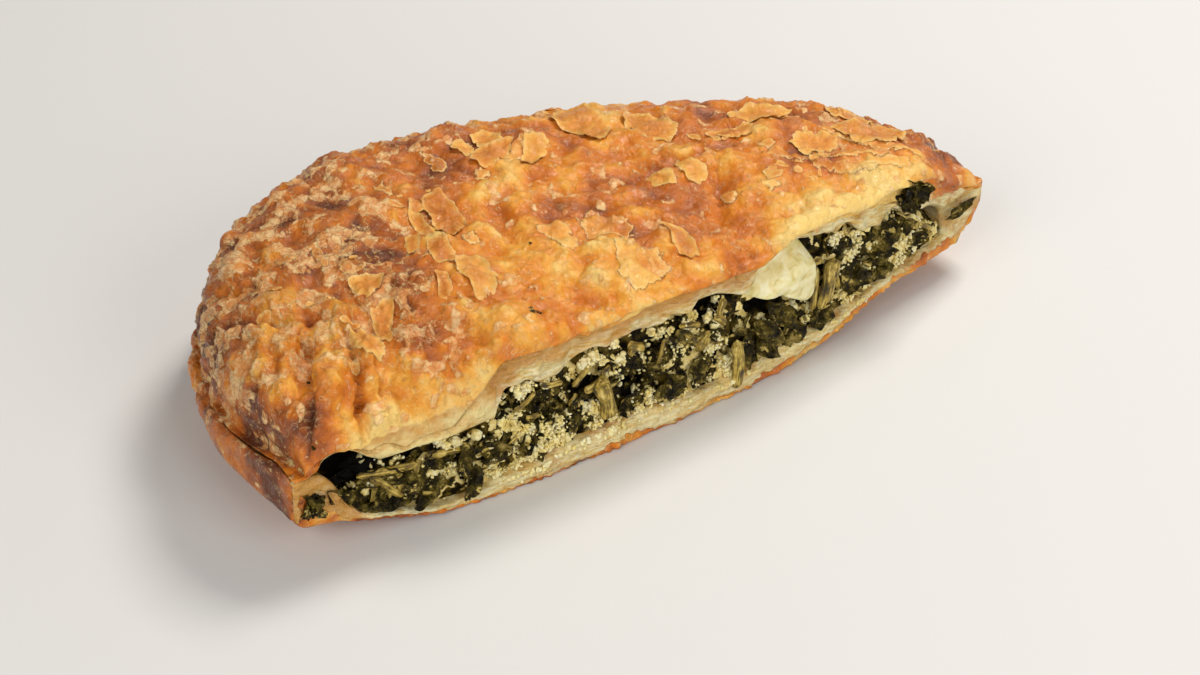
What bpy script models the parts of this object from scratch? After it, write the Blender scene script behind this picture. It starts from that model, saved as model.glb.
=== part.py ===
"""Half of a round puff pastry pie with a spinach and cheese filling, cut straight across.

The pie lies with its cut face to -Y and its curved, sealed rim to +Y. A puffed top crust rises
from the rim, a thinner bottom crust lies under the filling, and both ends curl up off the floor.
Plan positions are measured from the middle of the cut: x runs along the cut from the left corner
to the right tip, y runs back towards the rim, and z is the height above the floor.
"""

import math
import random

import bmesh
import bpy
import numpy as np
from mathutils import Matrix, Vector, noise

MM = 0.001

# Driving dimensions of the whole pie
HALF_CUT_LEFT = 117.0 * MM
HALF_CUT_RIGHT = 113.0 * MM
CUT_BULGE = 12.0 * MM
LEDGE_WIDTH = 4.0 * MM
LEDGE_DROP = 3.2 * MM
UNDERSIDE_ROUND = 5.0 * MM

# How round the crust's shoulder and brow are, and how far the shoulder swells out over its foot
SHOULDER_POWER = 2.3
BROW_POWER = 2.2
SHOULDER_BULGE = 2.6 * MM

# The rim's distance from the middle of the cut, every 20 degrees from the right tip to the left corner
RIM_RADII = [113.0, 113.5, 108.0, 103.0, 103.0, 109.5, 119.5, 125.5, 123.3, 117.0]

# The pie's centre in plan, which the origin stands under
CENTRE_X = -2.5 * MM
CENTRE_Y = 46.7 * MM

# The pastry shell
CRUST_THICKNESS = 9.0 * MM
BASE_THICKNESS = 5.0 * MM
RIM_THICKNESS = 11.0 * MM
BLISTER_SPACING = 13.0 * MM
BLISTER_HEIGHT = 2.2 * MM
BROW_ROUND = 4.0 * MM
BROW_DROP = 3.0 * MM
FACE_LEAN_BASE = 1.0 * MM
FACE_LEAN_CRUST = 2.0 * MM
FACE_RIPPLE = 1.2 * MM
FACE_RIPPLE_SPACING = 11.0 * MM
END_BLEND = 8.0 * MM
END_SHARE = 0.004
COLUMNS = 66
TOP_ROWS = 20
LEDGE_ROWS = 3
WALL_ROWS = 2
UNDER_ROWS = 5
FACE_ROWS = 5

# The filling, which keeps clear of the pastry that wraps it
GAP = 0.4 * MM
FILLING_SETBACK = 3.0 * MM
FILLING_DIMPLES = 2.5 * MM
DIMPLE_SPACING = 5.0 * MM
POCKET_LEFT = -107 * MM
POCKET_RIGHT = 97 * MM
POCKET_MOUTH = -16 * MM
CEILING_RISE = 24 * MM
LEFT_TAPER = 5 * MM
RIGHT_TAPER = 9 * MM
THIN_SHARE = 0.12
LEAST_HALF_HEIGHT = 0.8 * MM
FILLING_COLUMNS = 42
FILLING_RINGS = 8
FACE_RINGS = 4

# The scraps that show at the cut: how many, their sizes and how far they stand clear of the crust
LEAF_COUNT = 32
LEAF_SIZE = (6 * MM, 9 * MM)
LEAF_THICKNESS = 0.22
STEM_COUNT = 9
STEM_LENGTH = (9 * MM, 13 * MM)
STEM_RADIUS = 1.6 * MM
CURD_COUNT = 40
CURD_RADIUS = (1.3 * MM, 2.1 * MM)
SCRAP_CLEARANCE = 1.4 * MM
GOLDEN_SHARE = 0.618

# Heights along the cut, as x and z in millimetres
CROWN_HEIGHT = [(-116, 43), (-60, 46.5), (0, 45), (40, 43.5), (80, 42), (113, 36)]
BROW_HEIGHT = [(-116, 27), (-108, 32), (-98, 32), (-88, 30), (-76, 30), (-68, 36), (-60, 43), (-20, 43),
               (16, 41), (34, 43.5), (58, 42.5), (82, 42), (94, 35), (105, 29), (113, 25)]
CEILING_HEIGHT = [(-111, 24), (-104, 26), (-92, 23), (-72, 20), (-62, 26), (-54, 29), (-44, 27),
                  (-34, 30), (0, 31.5), (14, 29), (28, 32), (38, 34.5), (50, 33), (64, 29), (76, 29),
                  (84, 24), (96, 20)]
FLOOR_RISE = [(-116, 9), (-104, 7.5), (-88, 3), (-74, 0.5), (-64, 0.3), (27, 0.3), (42, 1.5), (60, 5),
              (76, 8), (96, 8), (104, 9.5), (108, 12), (113, 15.5)]

# The flat place under the pie that it stands on: its corners in plan and how far it reaches into the base
REST_OUTLINE = [(-60, 8), (-20, 0), (20, 6), (25, 42), (20, 80), (-20, 87), (-58, 82), (-63, 44)]
REST_DEPTH = 1.5 * MM

# The top of the rim and the reach of the crust's shoulder, as degrees round the rim and millimetres
RIM_TOP = [(0, 24), (20, 21), (40, 17), (90, 15), (140, 17), (160, 19.5), (180, 25)]
SHOULDER = [(0, 32), (20, 41), (45, 47), (70, 46), (95, 41), (115, 32), (135, 23), (160, 17), (180, 14)]
BROW_REACH = [(-116, 16), (-78, 18), (-62, 34), (80, 34), (113, 20)]

# Swellings and hollows of the top crust: x, y, reach along, reach across, turn in degrees, height (mm)
PUFFS = [
    (-110, 20, 16, 5, 75, 2.5), (-101, 7, 10, 4.5, 65, 2.5), (-90, 6, 9, 5, 65, 1.5),
    (-60, 25, 22, 16, 0, 1.5), (-25, 20, 18, 12, 0, 1.5), (-16, 3, 11, 7, -20, 2.0),
    (12, 36, 10, 9, 0, -2.5), (45, 20, 20, 12, -35, 2.5), (70, 30, 12, 9, 0, 1.0),
    (-46, 84, 9, 7, 10, 1.5), (-8, 80, 16, 8, -10, 1.5), (-86, 52, 14, 9, 50, 1.0),
]

# Folds pressed into the top crust: half width and depth, then the points they run through (mm)
FOLDS = [
    (2.2, 3.0, [(-99, 21), (-105, 11), (-111, 2)]),
    (2.2, 2.2, [(-91, 12), (-97, -4)]),
    (3.0, 2.2, [(-78, 30), (-81, 17), (-84, 6), (-88, -4)]),
    (1.8, 1.8, [(-107, 49), (-98, 35), (-88, 26)]),
    (1.6, 1.5, [(-104, 63), (-100, 59), (-95, 52)]),
    (1.6, 1.5, [(4, 33), (19, 35), (34, 33)]),
    (2.0, 1.2, [(-66, 19), (-50, 7), (-36, 2), (-28, -6)]),
    (3.0, 1.8, [(34, 25), (27, 16), (20, 7)]),
    (2.0, 1.2, [(-20, 33), (-7, 24), (3, 15)]),
]

# Large loose flakes of the top skin: x, y, half length, half width, turn in degrees (mm)
FLAKES = [
    (-12, 64, 8.5, 5, 15), (-1, 60, 8, 4, 38), (-16, 71, 3.5, 3, 0), (-7, 72, 4.5, 3, 20),
    (21, 67, 13, 5.5, 65), (35, 54, 9, 6, 60), (-26, 71, 5, 2.5, 95), (-40, 46, 12, 5, 61),
    (-46, 65, 4, 2.5, 60), (-52, 31, 5.5, 3.2, 60), (-86, 12, 6.5, 3.2, 70), (-60, 18, 4.5, 2, 65),
    (-50, 18, 8, 3.4, 78), (-74, 31, 4.5, 3.6, 20), (28, 28, 5.5, 2.8, 85), (50, 37, 7, 3, -15),
    (64, 42, 9, 4, -20), (66, 21, 7.5, 4, -15), (-22, 19, 7, 2.8, 80), (84, 18, 11, 6, -20),
    (68, 5, 10, 4.5, -25), (3, 3, 6, 3, 60), (17, 28, 4.5, 2, 60), (-73, 40, 4, 3.4, 0),
    (-77, 49, 6, 2, 75), (-84, 53, 3.5, 2.5, 0),
]

FLAKE_CORNERS = 9
FLAKE_RISE = 1.0 * MM
FLAKE_SINK = 1.4 * MM

# A torn flap of the top crust's inner dough that hangs over the filling, as x and z on the cut (mm)
FLAP = [(20, 38), (31, 40), (39, 38), (39.5, 27), (38, 21), (35, 20), (31, 23), (25, 26.5), (15, 29),
        (11, 31), (13, 34.5)]
FLAP_FRONT = -1.4 * MM
FLAP_BACK = 0.8 * MM
FLAP_ROOT = 4.5 * MM
FLAP_ROOT_HEIGHT = 37 * MM
FLAP_SHADOW = 4 * MM
FLAP_SHADOW_FOOT = 16 * MM

# Spinach squeezed out between the layers at the cut: x, z, depth behind the cut, then the three sizes (mm)
TUFTS = {
    "spinach_tuft": (77.5, 35.5, 0.5, 10.5, 6.0, 9.0),
    "corner_spinach": (-112.0, 15.0, 1.5, 4.5, 5.0, 6.0),
}
TUFT_CRUMPLE = 0.35

PASTRY_COLOUR = (0.62, 0.30, 0.08, 1.0)
FILLING_COLOUR = (0.10, 0.12, 0.04, 1.0)
LEAF_COLOUR = (0.03, 0.045, 0.025, 1.0)


def clear_scene():
    for thing in list(bpy.data.objects):
        bpy.data.objects.remove(thing, do_unlink=True)


def baked_material(name, colour, roughness):
    material = bpy.data.materials.new(name)
    material.use_nodes = True
    shader = material.node_tree.nodes["Principled BSDF"]
    shader.inputs["Base Color"].default_value = colour
    shader.inputs["Roughness"].default_value = roughness
    shader.inputs["Metallic"].default_value = 0.0
    return material


def put_in(group, name, shell):
    """Makes an object of a finished bmesh, with its faces pointing out, in a collection."""
    bmesh.ops.recalc_face_normals(shell, faces=shell.faces)
    mesh = bpy.data.meshes.new(name)
    shell.to_mesh(mesh)
    shell.free()
    body = bpy.data.objects.new(name, mesh)
    group.objects.link(body)
    return body


def new_group(name):
    group = bpy.data.collections.new(name)
    bpy.context.scene.collection.children.link(group)
    return group


def smooth_through(stations, where):
    """A smooth curve through (place, value) pairs that never passes them, read at an array of places."""
    places = np.array([s[0] for s in stations], float)
    values = np.array([s[1] for s in stations], float)
    steps = np.diff(values) / np.diff(places)
    slopes = np.zeros_like(values)
    rising = steps[:-1] * steps[1:] > 0
    slopes[1:-1][rising] = 2 / (1 / steps[:-1][rising] + 1 / steps[1:][rising])
    where = np.clip(where, places[0], places[-1])
    left = np.clip(np.searchsorted(places, where) - 1, 0, len(places) - 2)
    span = places[left + 1] - places[left]
    t = (where - places[left]) / span
    return ((2 * t**3 - 3 * t**2 + 1) * values[left] + (t**3 - 2 * t**2 + t) * span * slopes[left]
            + (3 * t**2 - 2 * t**3) * values[left + 1] + (t**3 - t**2) * span * slopes[left + 1])


def ease(low, high, value):
    t = np.clip((value - low) / (high - low), 0.0, 1.0)
    return t * t * (3 - 2 * t)


def rim_radius(angle):
    step = 180.0 / (len(RIM_RADII) - 1)
    stations = [(i * step, r) for i, r in enumerate(RIM_RADII)]
    return smooth_through(stations, np.degrees(angle)) * MM


def rim_point(share):
    """Where the rim is in plan, from the left corner at share 0 to the right tip at share 1."""
    angle = math.pi * (1 - share)
    radius = rim_radius(angle)
    return radius * np.cos(angle), radius * np.sin(angle)


def cut_line(x):
    """The cut's y at a given x: a hand-cut line that bulges forward in its middle."""
    reach = np.where(x < 0, HALF_CUT_LEFT, HALF_CUT_RIGHT)
    return -CUT_BULGE * (1 - np.clip(x / reach, -1, 1) ** 2)


def at_cut(x, z, behind=0.0):
    """A point on the cut at one x and z, or a little behind it."""
    return Vector((x, float(cut_line(np.array(x))) + behind, z))


def plan_point(share, back):
    """A plan position, from the cut at back 0 to the rim at back 1."""
    x_front = -HALF_CUT_LEFT + share * (HALF_CUT_LEFT + HALF_CUT_RIGHT)
    y_front = cut_line(x_front)
    x_rim, y_rim = rim_point(share)
    return x_front + (x_rim - x_front) * back, y_front + (y_rim - y_front) * back


def rim_distance(x, y):
    """How far a plan position is inside the rim, and the rim's outward direction there."""
    rim_x, rim_y = rim_point(np.linspace(0, 1, 181))
    gap_x, gap_y = x[..., None] - rim_x, y[..., None] - rim_y
    distance = np.sqrt(gap_x**2 + gap_y**2)
    nearest = distance.argmin(-1)
    tangent_x, tangent_y = np.gradient(rim_x), np.gradient(rim_y)
    length = np.hypot(tangent_x, tangent_y)
    return distance.min(-1), (-tangent_y / length)[nearest], (tangent_x / length)[nearest]


def around(x, y):
    return np.degrees(np.arctan2(np.maximum(y, 0.0), x))


def underside(x, distance):
    """The height of the pie's underside, which curls up at both ends and rounds into the rim."""
    rounding = np.clip((UNDERSIDE_ROUND - distance) / UNDERSIDE_ROUND, 0, 1)
    return smooth_through(FLOOR_RISE, x / MM) * MM + UNDERSIDE_ROUND * (1 - np.sqrt(1 - rounding**2))


def path_distance(x, y, path):
    """How far plan positions are from a path of straight stretches, in millimetres."""
    nearest = np.full_like(x, np.inf)
    for (ax, ay), (bx, by) in zip(path, path[1:]):
        run_x, run_y = bx - ax, by - ay
        dx, dy = x / MM - ax, y / MM - ay
        along = np.clip((dx * run_x + dy * run_y) / (run_x**2 + run_y**2), 0, 1)
        nearest = np.minimum(nearest, np.hypot(dx - along * run_x, dy - along * run_y))
    return nearest


def swellings(x, y):
    """The puffed crust's lumps, hollows and folds."""
    height = np.zeros_like(x)
    for px, py, along, across, turn, lift in PUFFS:
        c, s = math.cos(math.radians(turn)), math.sin(math.radians(turn))
        dx, dy = x / MM - px, y / MM - py
        height += lift * MM * np.exp(-((dx * c + dy * s) / along) ** 2 - ((dy * c - dx * s) / across) ** 2)
    for half_width, depth, path in FOLDS:
        height -= depth * MM * np.exp(-((path_distance(x, y, path) / half_width) ** 2))
    return height


def ripple(x, y, z, scale, size):
    """A small seeded waviness, one value for each place."""
    flat = np.stack([np.ravel(x), np.ravel(y), np.ravel(z)], 1) / scale
    return np.array([noise.noise(Vector(p)) for p in flat]).reshape(np.shape(x)) * size


def crown(x, y, distance):
    """The height of the top crust, from the brow at the cut, over the crown and down its shoulder."""
    from_cut = y - cut_line(x)
    brow = smooth_through(BROW_HEIGHT, x / MM) * MM
    top = smooth_through(CROWN_HEIGHT, x / MM) * MM
    rolled = 1 - np.clip(from_cut / smooth_through(BROW_REACH, x / MM) / MM, 0, 1)
    full = brow + (top - brow) * (1 - rolled**BROW_POWER)
    angle = around(x, y)
    foot = smooth_through(RIM_TOP, angle) * MM
    reach = smooth_through(SHOULDER, angle) * MM
    t = np.clip((distance - LEDGE_WIDTH) / reach, 0, 1)
    shoulder = (1 - (1 - t) ** SHOULDER_POWER) ** (1 / SHOULDER_POWER)
    lumps = (swellings(x, y) + ripple(x, y, 0 * x, BLISTER_SPACING, BLISTER_HEIGHT)) * ease(0.05, 0.8, t)
    turned_over = np.clip((BROW_ROUND - from_cut) / BROW_ROUND, 0, 1)
    drop = BROW_DROP * (1 - np.sqrt(1 - turned_over**2))
    return foot + (full - foot + lumps - drop) * shoulder, t


def face_setback(x, z):
    """How far behind the cut line the cut face lies: the higher up the crust, the further back."""
    height = z - smooth_through(FLOOR_RISE, x / MM) * MM
    lean = FACE_LEAN_BASE * ease(4 * MM, 9 * MM, height) + FACE_LEAN_CRUST * ease(24 * MM, 34 * MM, height)
    return lean + ripple(x, z, 0 * x, FACE_RIPPLE_SPACING, FACE_RIPPLE)


def pastry_section(share):
    """One loop of points round the whole pie at one share of its length."""
    x_front, y_front = plan_point(share, 0.0)
    x_rim, y_rim = plan_point(share, 1.0)
    ledge = min(LEDGE_WIDTH / math.hypot(x_rim - x_front, y_rim - y_front), 0.25)
    back = np.sin(np.linspace(0, math.pi / 2, TOP_ROWS + 1)) ** 1.1 * (1 - ledge)
    x, y = plan_point(share, back)
    distance, out_x, out_y = rim_distance(x, y)
    z, t = crown(x, y, distance)
    bulge = SHOULDER_BULGE * np.sin(math.pi * t**0.6) * (1 - t)
    top = np.stack([x + out_x * bulge, y + out_y * bulge, z], 1)

    turn = np.arange(1, LEDGE_ROWS + 1) / LEDGE_ROWS * math.pi / 2
    x, y = plan_point(share, 1 - ledge + ledge * np.sin(turn))
    foot = smooth_through(RIM_TOP, around(x_rim, y_rim)) * MM
    ledge_top = np.stack([x, y, foot - LEDGE_DROP * (1 - np.cos(turn))], 1)

    low = underside(x_rim, 0.0)
    z = np.linspace(foot - LEDGE_DROP, low, WALL_ROWS + 1)[1:]
    wall = np.stack([x_rim + 0 * z, y_rim + 0 * z, z], 1)

    x, y = plan_point(share, 1 - (np.arange(1, UNDER_ROWS + 1) / UNDER_ROWS) ** 1.4)
    under = np.stack([x, y, underside(x, rim_distance(x, y)[0])], 1)

    z = np.linspace(under[-1][2], top[0][2], FACE_ROWS + 1)[1:-1]
    face = np.stack([x_front + 0 * z, y_front + 0 * z, z], 1)

    section = np.concatenate([top, ledge_top, wall, under, face])
    cut = np.r_[0, np.arange(len(section) - FACE_ROWS, len(section))]
    ends = ease(0, END_BLEND, HALF_CUT_LEFT + x_front) * ease(0, END_BLEND, HALF_CUT_RIGHT - x_front)
    section[cut, 1] += face_setback(x_front + 0 * cut, section[cut, 2]) * ends
    return section


def loft(name, sections):
    """A closed body through a row of equal loops: a grid rolled up, with both ends capped."""
    columns, rows = len(sections), len(sections[0])
    shell = bmesh.new()
    bmesh.ops.create_grid(shell, x_segments=columns - 1, y_segments=rows, size=1.0)
    shell.verts.ensure_lookup_table()
    for i, vert in enumerate(shell.verts):
        vert.co = Vector(sections[i % columns][(i // columns) % rows])
    bmesh.ops.remove_doubles(shell, verts=shell.verts, dist=0.00005)
    open_edges = [e for e in shell.edges if len(e.link_faces) == 1]
    bmesh.ops.holes_fill(shell, edges=open_edges, sides=0)
    bmesh.ops.triangulate(shell, faces=[f for f in shell.faces if len(f.verts) > 4])
    return put_in(bpy.context.scene.collection, name, shell)


def whole_pie():
    return loft("pastry", [pastry_section(s) for s in np.linspace(END_SHARE, 1 - END_SHARE, COLUMNS)])


def pocket_section(x_front, clearance, front):
    """One loop round the space that the filling takes, from the cut back towards the rim."""
    share = (x_front + HALF_CUT_LEFT) / (HALF_CUT_LEFT + HALF_CUT_RIGHT)
    x_cut, y_cut = plan_point(share, 0.0)
    x_rim, y_rim = plan_point(share, 1.0)
    depth = max(1 - (RIM_THICKNESS + clearance) / math.hypot(x_rim - x_cut, y_rim - y_cut), 0.4)
    back = np.linspace(0, depth, FILLING_RINGS)
    x, y = plan_point(share, back)
    height, _ = crown(x, y, rim_distance(x, y)[0])
    inside = height - swellings(x, y) - CRUST_THICKNESS
    at_face = smooth_through(CEILING_HEIGHT, x_front / MM) * MM
    ceiling = at_face + (inside - at_face) * ease(2 * MM, CEILING_RISE, y - cut_line(x))
    bed = smooth_through(FLOOR_RISE, x / MM) * MM + BASE_THICKNESS
    middle = (ceiling + bed) / 2
    thinning = 0.25 + 0.75 * np.sqrt(np.clip((depth - back) / THIN_SHARE, 0, 1))
    left_end = ease(POCKET_LEFT, POCKET_LEFT + LEFT_TAPER, x_front)
    right_end = ease(POCKET_RIGHT, POCKET_RIGHT - RIGHT_TAPER, x_front)
    half = (ceiling - bed) / 2 * thinning * (0.3 + 0.7 * left_end * right_end) - clearance
    half = np.maximum(half, LEAST_HALF_HEIGHT)
    top = np.stack([x, y, middle + half], 1)
    bottom = np.stack([x, y, middle - half], 1)
    for sheet in (top, bottom):
        if front > 0:
            sheet[0] += (sheet[1] - sheet[0]) * front / math.hypot(*(sheet[1] - sheet[0])[:2])
        else:
            sheet[0, 1] += front
    face = [bottom[0] + (top[0] - bottom[0]) * i / FACE_RINGS for i in range(1, FACE_RINGS)]
    return np.concatenate([top, bottom[::-1], face])


def pocket():
    places = np.linspace(POCKET_LEFT, POCKET_RIGHT, FILLING_COLUMNS)
    return loft("pocket", [pocket_section(x, 0.0, POCKET_MOUTH) for x in places])


def filling_core():
    """The body of the filling: the pocket less its clearance, with dimples in its cut face."""
    places = np.linspace(POCKET_LEFT, POCKET_RIGHT, FILLING_COLUMNS)
    places[[0, -1]] += [GAP, -GAP]
    core = loft("filling", [pocket_section(x, GAP, FILLING_SETBACK) for x in places])
    for vert in core.data.vertices:
        in_face = vert.co.y < at_cut(vert.co.x, 0, FILLING_SETBACK).y + 1 * MM
        if in_face and POCKET_LEFT + END_BLEND < vert.co.x < POCKET_RIGHT - END_BLEND:
            vert.co.y += abs(noise.noise(vert.co / DIMPLE_SPACING)) * FILLING_DIMPLES
    return core


def use_boolean(body, other, operation, solver="EXACT"):
    cut = body.modifiers.new(operation.lower(), "BOOLEAN")
    cut.operation = operation
    cut.solver = solver
    if isinstance(other, bpy.types.Collection):
        cut.operand_type = "COLLECTION"
        cut.collection = other
        leftovers = list(other.objects)
    else:
        cut.object = other
        leftovers = [other]
    graph = bpy.context.evaluated_depsgraph_get()
    made = bpy.data.meshes.new_from_object(body.evaluated_get(graph))
    body.modifiers.clear()
    body.data = made
    for thing in leftovers:
        bpy.data.objects.remove(thing, do_unlink=True)


def keep_largest_shell(body):
    """Drops any loose scrap that a union left beside the body."""
    shell = bmesh.new()
    shell.from_mesh(body.data)
    unseen, shells = set(shell.verts), []
    while unseen:
        front = [unseen.pop()]
        found = set(front)
        while front:
            for edge in front.pop().link_edges:
                for vert in edge.verts:
                    if vert in unseen:
                        unseen.discard(vert)
                        found.add(vert)
                        front.append(vert)
        shells.append(found)
    shells.sort(key=len)
    for scrap in shells[:-1]:
        bmesh.ops.delete(shell, geom=list(scrap), context="VERTS")
    shell.to_mesh(body.data)
    shell.free()


def top_height(x, y):
    x, y = np.array([x]), np.array([y])
    return float(crown(x, y, rim_distance(x, y)[0])[0][0])


def flake(group, index, place):
    """One ragged plate of the crust's top skin, half sunk into the crust under it."""
    x_mm, y_mm, half_length, half_width, turn = place
    draw = random.Random(100 + index)
    plate = bmesh.new()
    bmesh.ops.create_circle(plate, cap_ends=True, segments=FLAKE_CORNERS, radius=1.0)
    lifted = bmesh.ops.extrude_face_region(plate, geom=list(plate.faces))
    upper = {v for v in lifted["geom"] if isinstance(v, bmesh.types.BMVert)}
    ragged = [draw.uniform(0.65, 1.2) for _ in range(FLAKE_CORNERS)]
    for vert in plate.verts:
        corner = round(math.atan2(vert.co.y, vert.co.x) / math.tau * FLAKE_CORNERS) % FLAKE_CORNERS
        outward = Vector((vert.co.x * half_length, vert.co.y * half_width)) * ragged[corner] * MM
        outward.rotate(Matrix.Rotation(math.radians(turn), 2))
        x, y = x_mm * MM + outward.x, y_mm * MM + outward.y
        vert.co = (x, y, top_height(x, y) + (FLAKE_RISE if vert in upper else -FLAKE_SINK))
    put_in(group, "flake", plate)


def dough_flap(group):
    """The flap: a plate that starts in the crust's cut edge and hangs down in front of the filling."""
    flap = bmesh.new()
    outline = [flap.verts.new(at_cut(x * MM, z * MM, FLAP_FRONT)) for x, z in FLAP]
    bmesh.ops.triangulate(flap, faces=[flap.faces.new(outline)])
    lifted = bmesh.ops.extrude_face_region(flap, geom=list(flap.faces))
    behind = [v for v in lifted["geom"] if isinstance(v, bmesh.types.BMVert)]
    for vert in behind:
        vert.co.y += (FLAP_ROOT if vert.co.z > FLAP_ROOT_HEIGHT else FLAP_BACK) - FLAP_FRONT
    put_in(group, "flap", flap)


def resting_face(group):
    """The low flat place that the pie stands on, a prism whose upper part is inside the base."""
    pad = bmesh.new()
    outline = [pad.verts.new((x * MM, y * MM, 0.0)) for x, y in REST_OUTLINE]
    lifted = bmesh.ops.extrude_face_region(pad, geom=[pad.faces.new(outline)])
    for vert in lifted["geom"]:
        if isinstance(vert, bmesh.types.BMVert):
            vert.co.z = REST_DEPTH
    put_in(group, "rest", pad)


def tuft(name, room=0.0):
    """A crumpled lump of spinach, or with room the slightly larger hole that it sits in."""
    x, z, behind, *sizes = TUFTS[name]
    centre = at_cut(x * MM, z * MM, behind * MM)
    lump = bmesh.new()
    bmesh.ops.create_icosphere(lump, subdivisions=2, radius=0.5)
    for vert in lump.verts:
        vert.co *= 1 + TUFT_CRUMPLE * noise.noise(vert.co * 4 + Vector((x, z, behind)))
        vert.co = centre + Vector([c * (size * MM + 2 * room) for c, size in zip(vert.co, sizes)])
    return put_in(bpy.context.scene.collection, name, lump)


def baked_pastry():
    """The whole shell: hollowed for the filling, with its flakes, flap and resting face fused on."""
    pastry = whole_pie()
    use_boolean(pastry, pocket(), "DIFFERENCE")
    additions = new_group("additions")
    for index, place in enumerate(FLAKES):
        flake(additions, index, place)
    dough_flap(additions)
    resting_face(additions)
    use_boolean(pastry, additions, "UNION", "MANIFOLD")
    for name in TUFTS:
        use_boolean(pastry, tuft(name, room=2 * GAP), "DIFFERENCE")
    keep_largest_shell(pastry)
    return pastry


def leaf_scrap(group, place, size, draw):
    """A crumpled scrap of cooked spinach leaf: a thin wavy plate."""
    turn = draw.uniform(0, math.pi)
    tilt = math.radians(90 + draw.uniform(-25, 25))
    phase = draw.uniform(0, math.tau)
    scrap = bmesh.new()
    bmesh.ops.create_grid(scrap, x_segments=2, y_segments=2, size=0.5)
    bmesh.ops.solidify(scrap, geom=list(scrap.faces), thickness=-LEAF_THICKNESS)
    for vert in scrap.verts:
        vert.co.z += 0.16 * math.sin(6 * vert.co.x + phase) + 0.1 * math.cos(5 * vert.co.y + phase)
        vert.co.x *= 1.25 - abs(vert.co.y)
    spin = Matrix.Rotation(turn, 4, "Y") @ Matrix.Rotation(tilt, 4, "X") @ Matrix.Scale(size, 4)
    bmesh.ops.transform(scrap, matrix=Matrix.Translation(place) @ spin, verts=scrap.verts)
    bmesh.ops.triangulate(scrap, faces=scrap.faces)
    put_in(group, "leaf", scrap)


def stem_piece(group, place, length, draw):
    """A cut length of spinach stem: a leaning six-sided rod."""
    lean = Matrix.Rotation(draw.uniform(-0.7, 0.7), 4, "Y")
    stem = bmesh.new()
    bmesh.ops.create_cone(stem, cap_ends=True, segments=6, radius1=STEM_RADIUS, radius2=STEM_RADIUS,
                          depth=length)
    bmesh.ops.transform(stem, matrix=Matrix.Translation(place) @ lean, verts=stem.verts)
    put_in(group, "stem", stem)


def curd(group, place, radius, draw):
    """A crumb of white cheese."""
    lump = bmesh.new()
    bmesh.ops.create_icosphere(lump, subdivisions=1, radius=radius)
    for vert in lump.verts:
        vert.co *= draw.uniform(0.8, 1.15)
    bmesh.ops.translate(lump, vec=place, verts=lump.verts)
    put_in(group, "curd", lump)


def face_spot(index, count, room, sink, draw):
    """A place on the filling's cut face for one of a row of scraps, or none where the flap hangs."""
    x = POCKET_LEFT + (POCKET_RIGHT - POCKET_LEFT) * (index + draw.uniform(0.2, 0.8)) / count
    section = pocket_section(x, GAP, FILLING_SETBACK)
    low = section[2 * FILLING_RINGS - 1][2] + room
    high = section[0][2] - room
    z = low + (high - low) * (index * GOLDEN_SHARE % 1)
    behind_flap = min(FLAP)[0] * MM - FLAP_SHADOW < x < max(FLAP)[0] * MM + FLAP_SHADOW
    if high <= low or (behind_flap and z > FLAP_SHADOW_FOOT):
        return None
    return at_cut(x, z, FILLING_SETBACK + sink)


def scattered_filling():
    """The filling's core with the scraps, stems and curds that show at the cut, fused to it."""
    core = filling_core()
    bits = new_group("bits")
    draw = random.Random(7)
    for index in range(LEAF_COUNT):
        size = draw.uniform(*LEAF_SIZE)
        sink = draw.uniform(-1.2, 0.4) * MM
        place = face_spot(index, LEAF_COUNT, size * 0.62 + SCRAP_CLEARANCE, sink, draw)
        if place:
            leaf_scrap(bits, place, size, draw)
    for index in range(STEM_COUNT):
        length = draw.uniform(*STEM_LENGTH)
        place = face_spot(index, STEM_COUNT, length / 2 + SCRAP_CLEARANCE, -1.0 * MM, draw)
        if place:
            stem_piece(bits, place, length, draw)
    for index in range(CURD_COUNT):
        radius = draw.uniform(*CURD_RADIUS)
        place = face_spot(index, CURD_COUNT, radius + SCRAP_CLEARANCE, -0.6 * MM, draw)
        if place:
            curd(bits, place, radius, draw)
    use_boolean(core, bits, "UNION", "MANIFOLD")
    keep_largest_shell(core)
    return core


def finish(body, parent, material):
    body.data.materials.clear()
    body.data.materials.append(material)
    body.data.shade_smooth()
    body.data.set_sharp_from_angle(angle=math.radians(35))
    body.parent = parent


def build_pie():
    clear_scene()
    centre = bpy.data.objects.new("pie", None)
    centre.location = (-CENTRE_X, -CENTRE_Y, 0.0)
    bpy.context.scene.collection.objects.link(centre)
    finish(baked_pastry(), centre, baked_material("baked_crust", PASTRY_COLOUR, 0.55))
    finish(scattered_filling(), centre, baked_material("spinach_and_cheese", FILLING_COLOUR, 0.45))
    for name in TUFTS:
        finish(tuft(name), centre, baked_material(name, LEAF_COLOUR, 0.35))


build_pie()
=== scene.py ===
"""Half of a spinach and cheese puff pastry pie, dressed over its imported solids.

Places are in millimetres in the cut's own frame: x runs along the cut from the left corner to the
right tip, y runs back to the rim and z up from the floor. Meshes are moved to the frame as they are made.
"""

import math
import random

import bmesh
import bpy
import numpy as np
from mathutils import Matrix, Vector, noise
from mathutils.bvhtree import BVHTree


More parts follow.
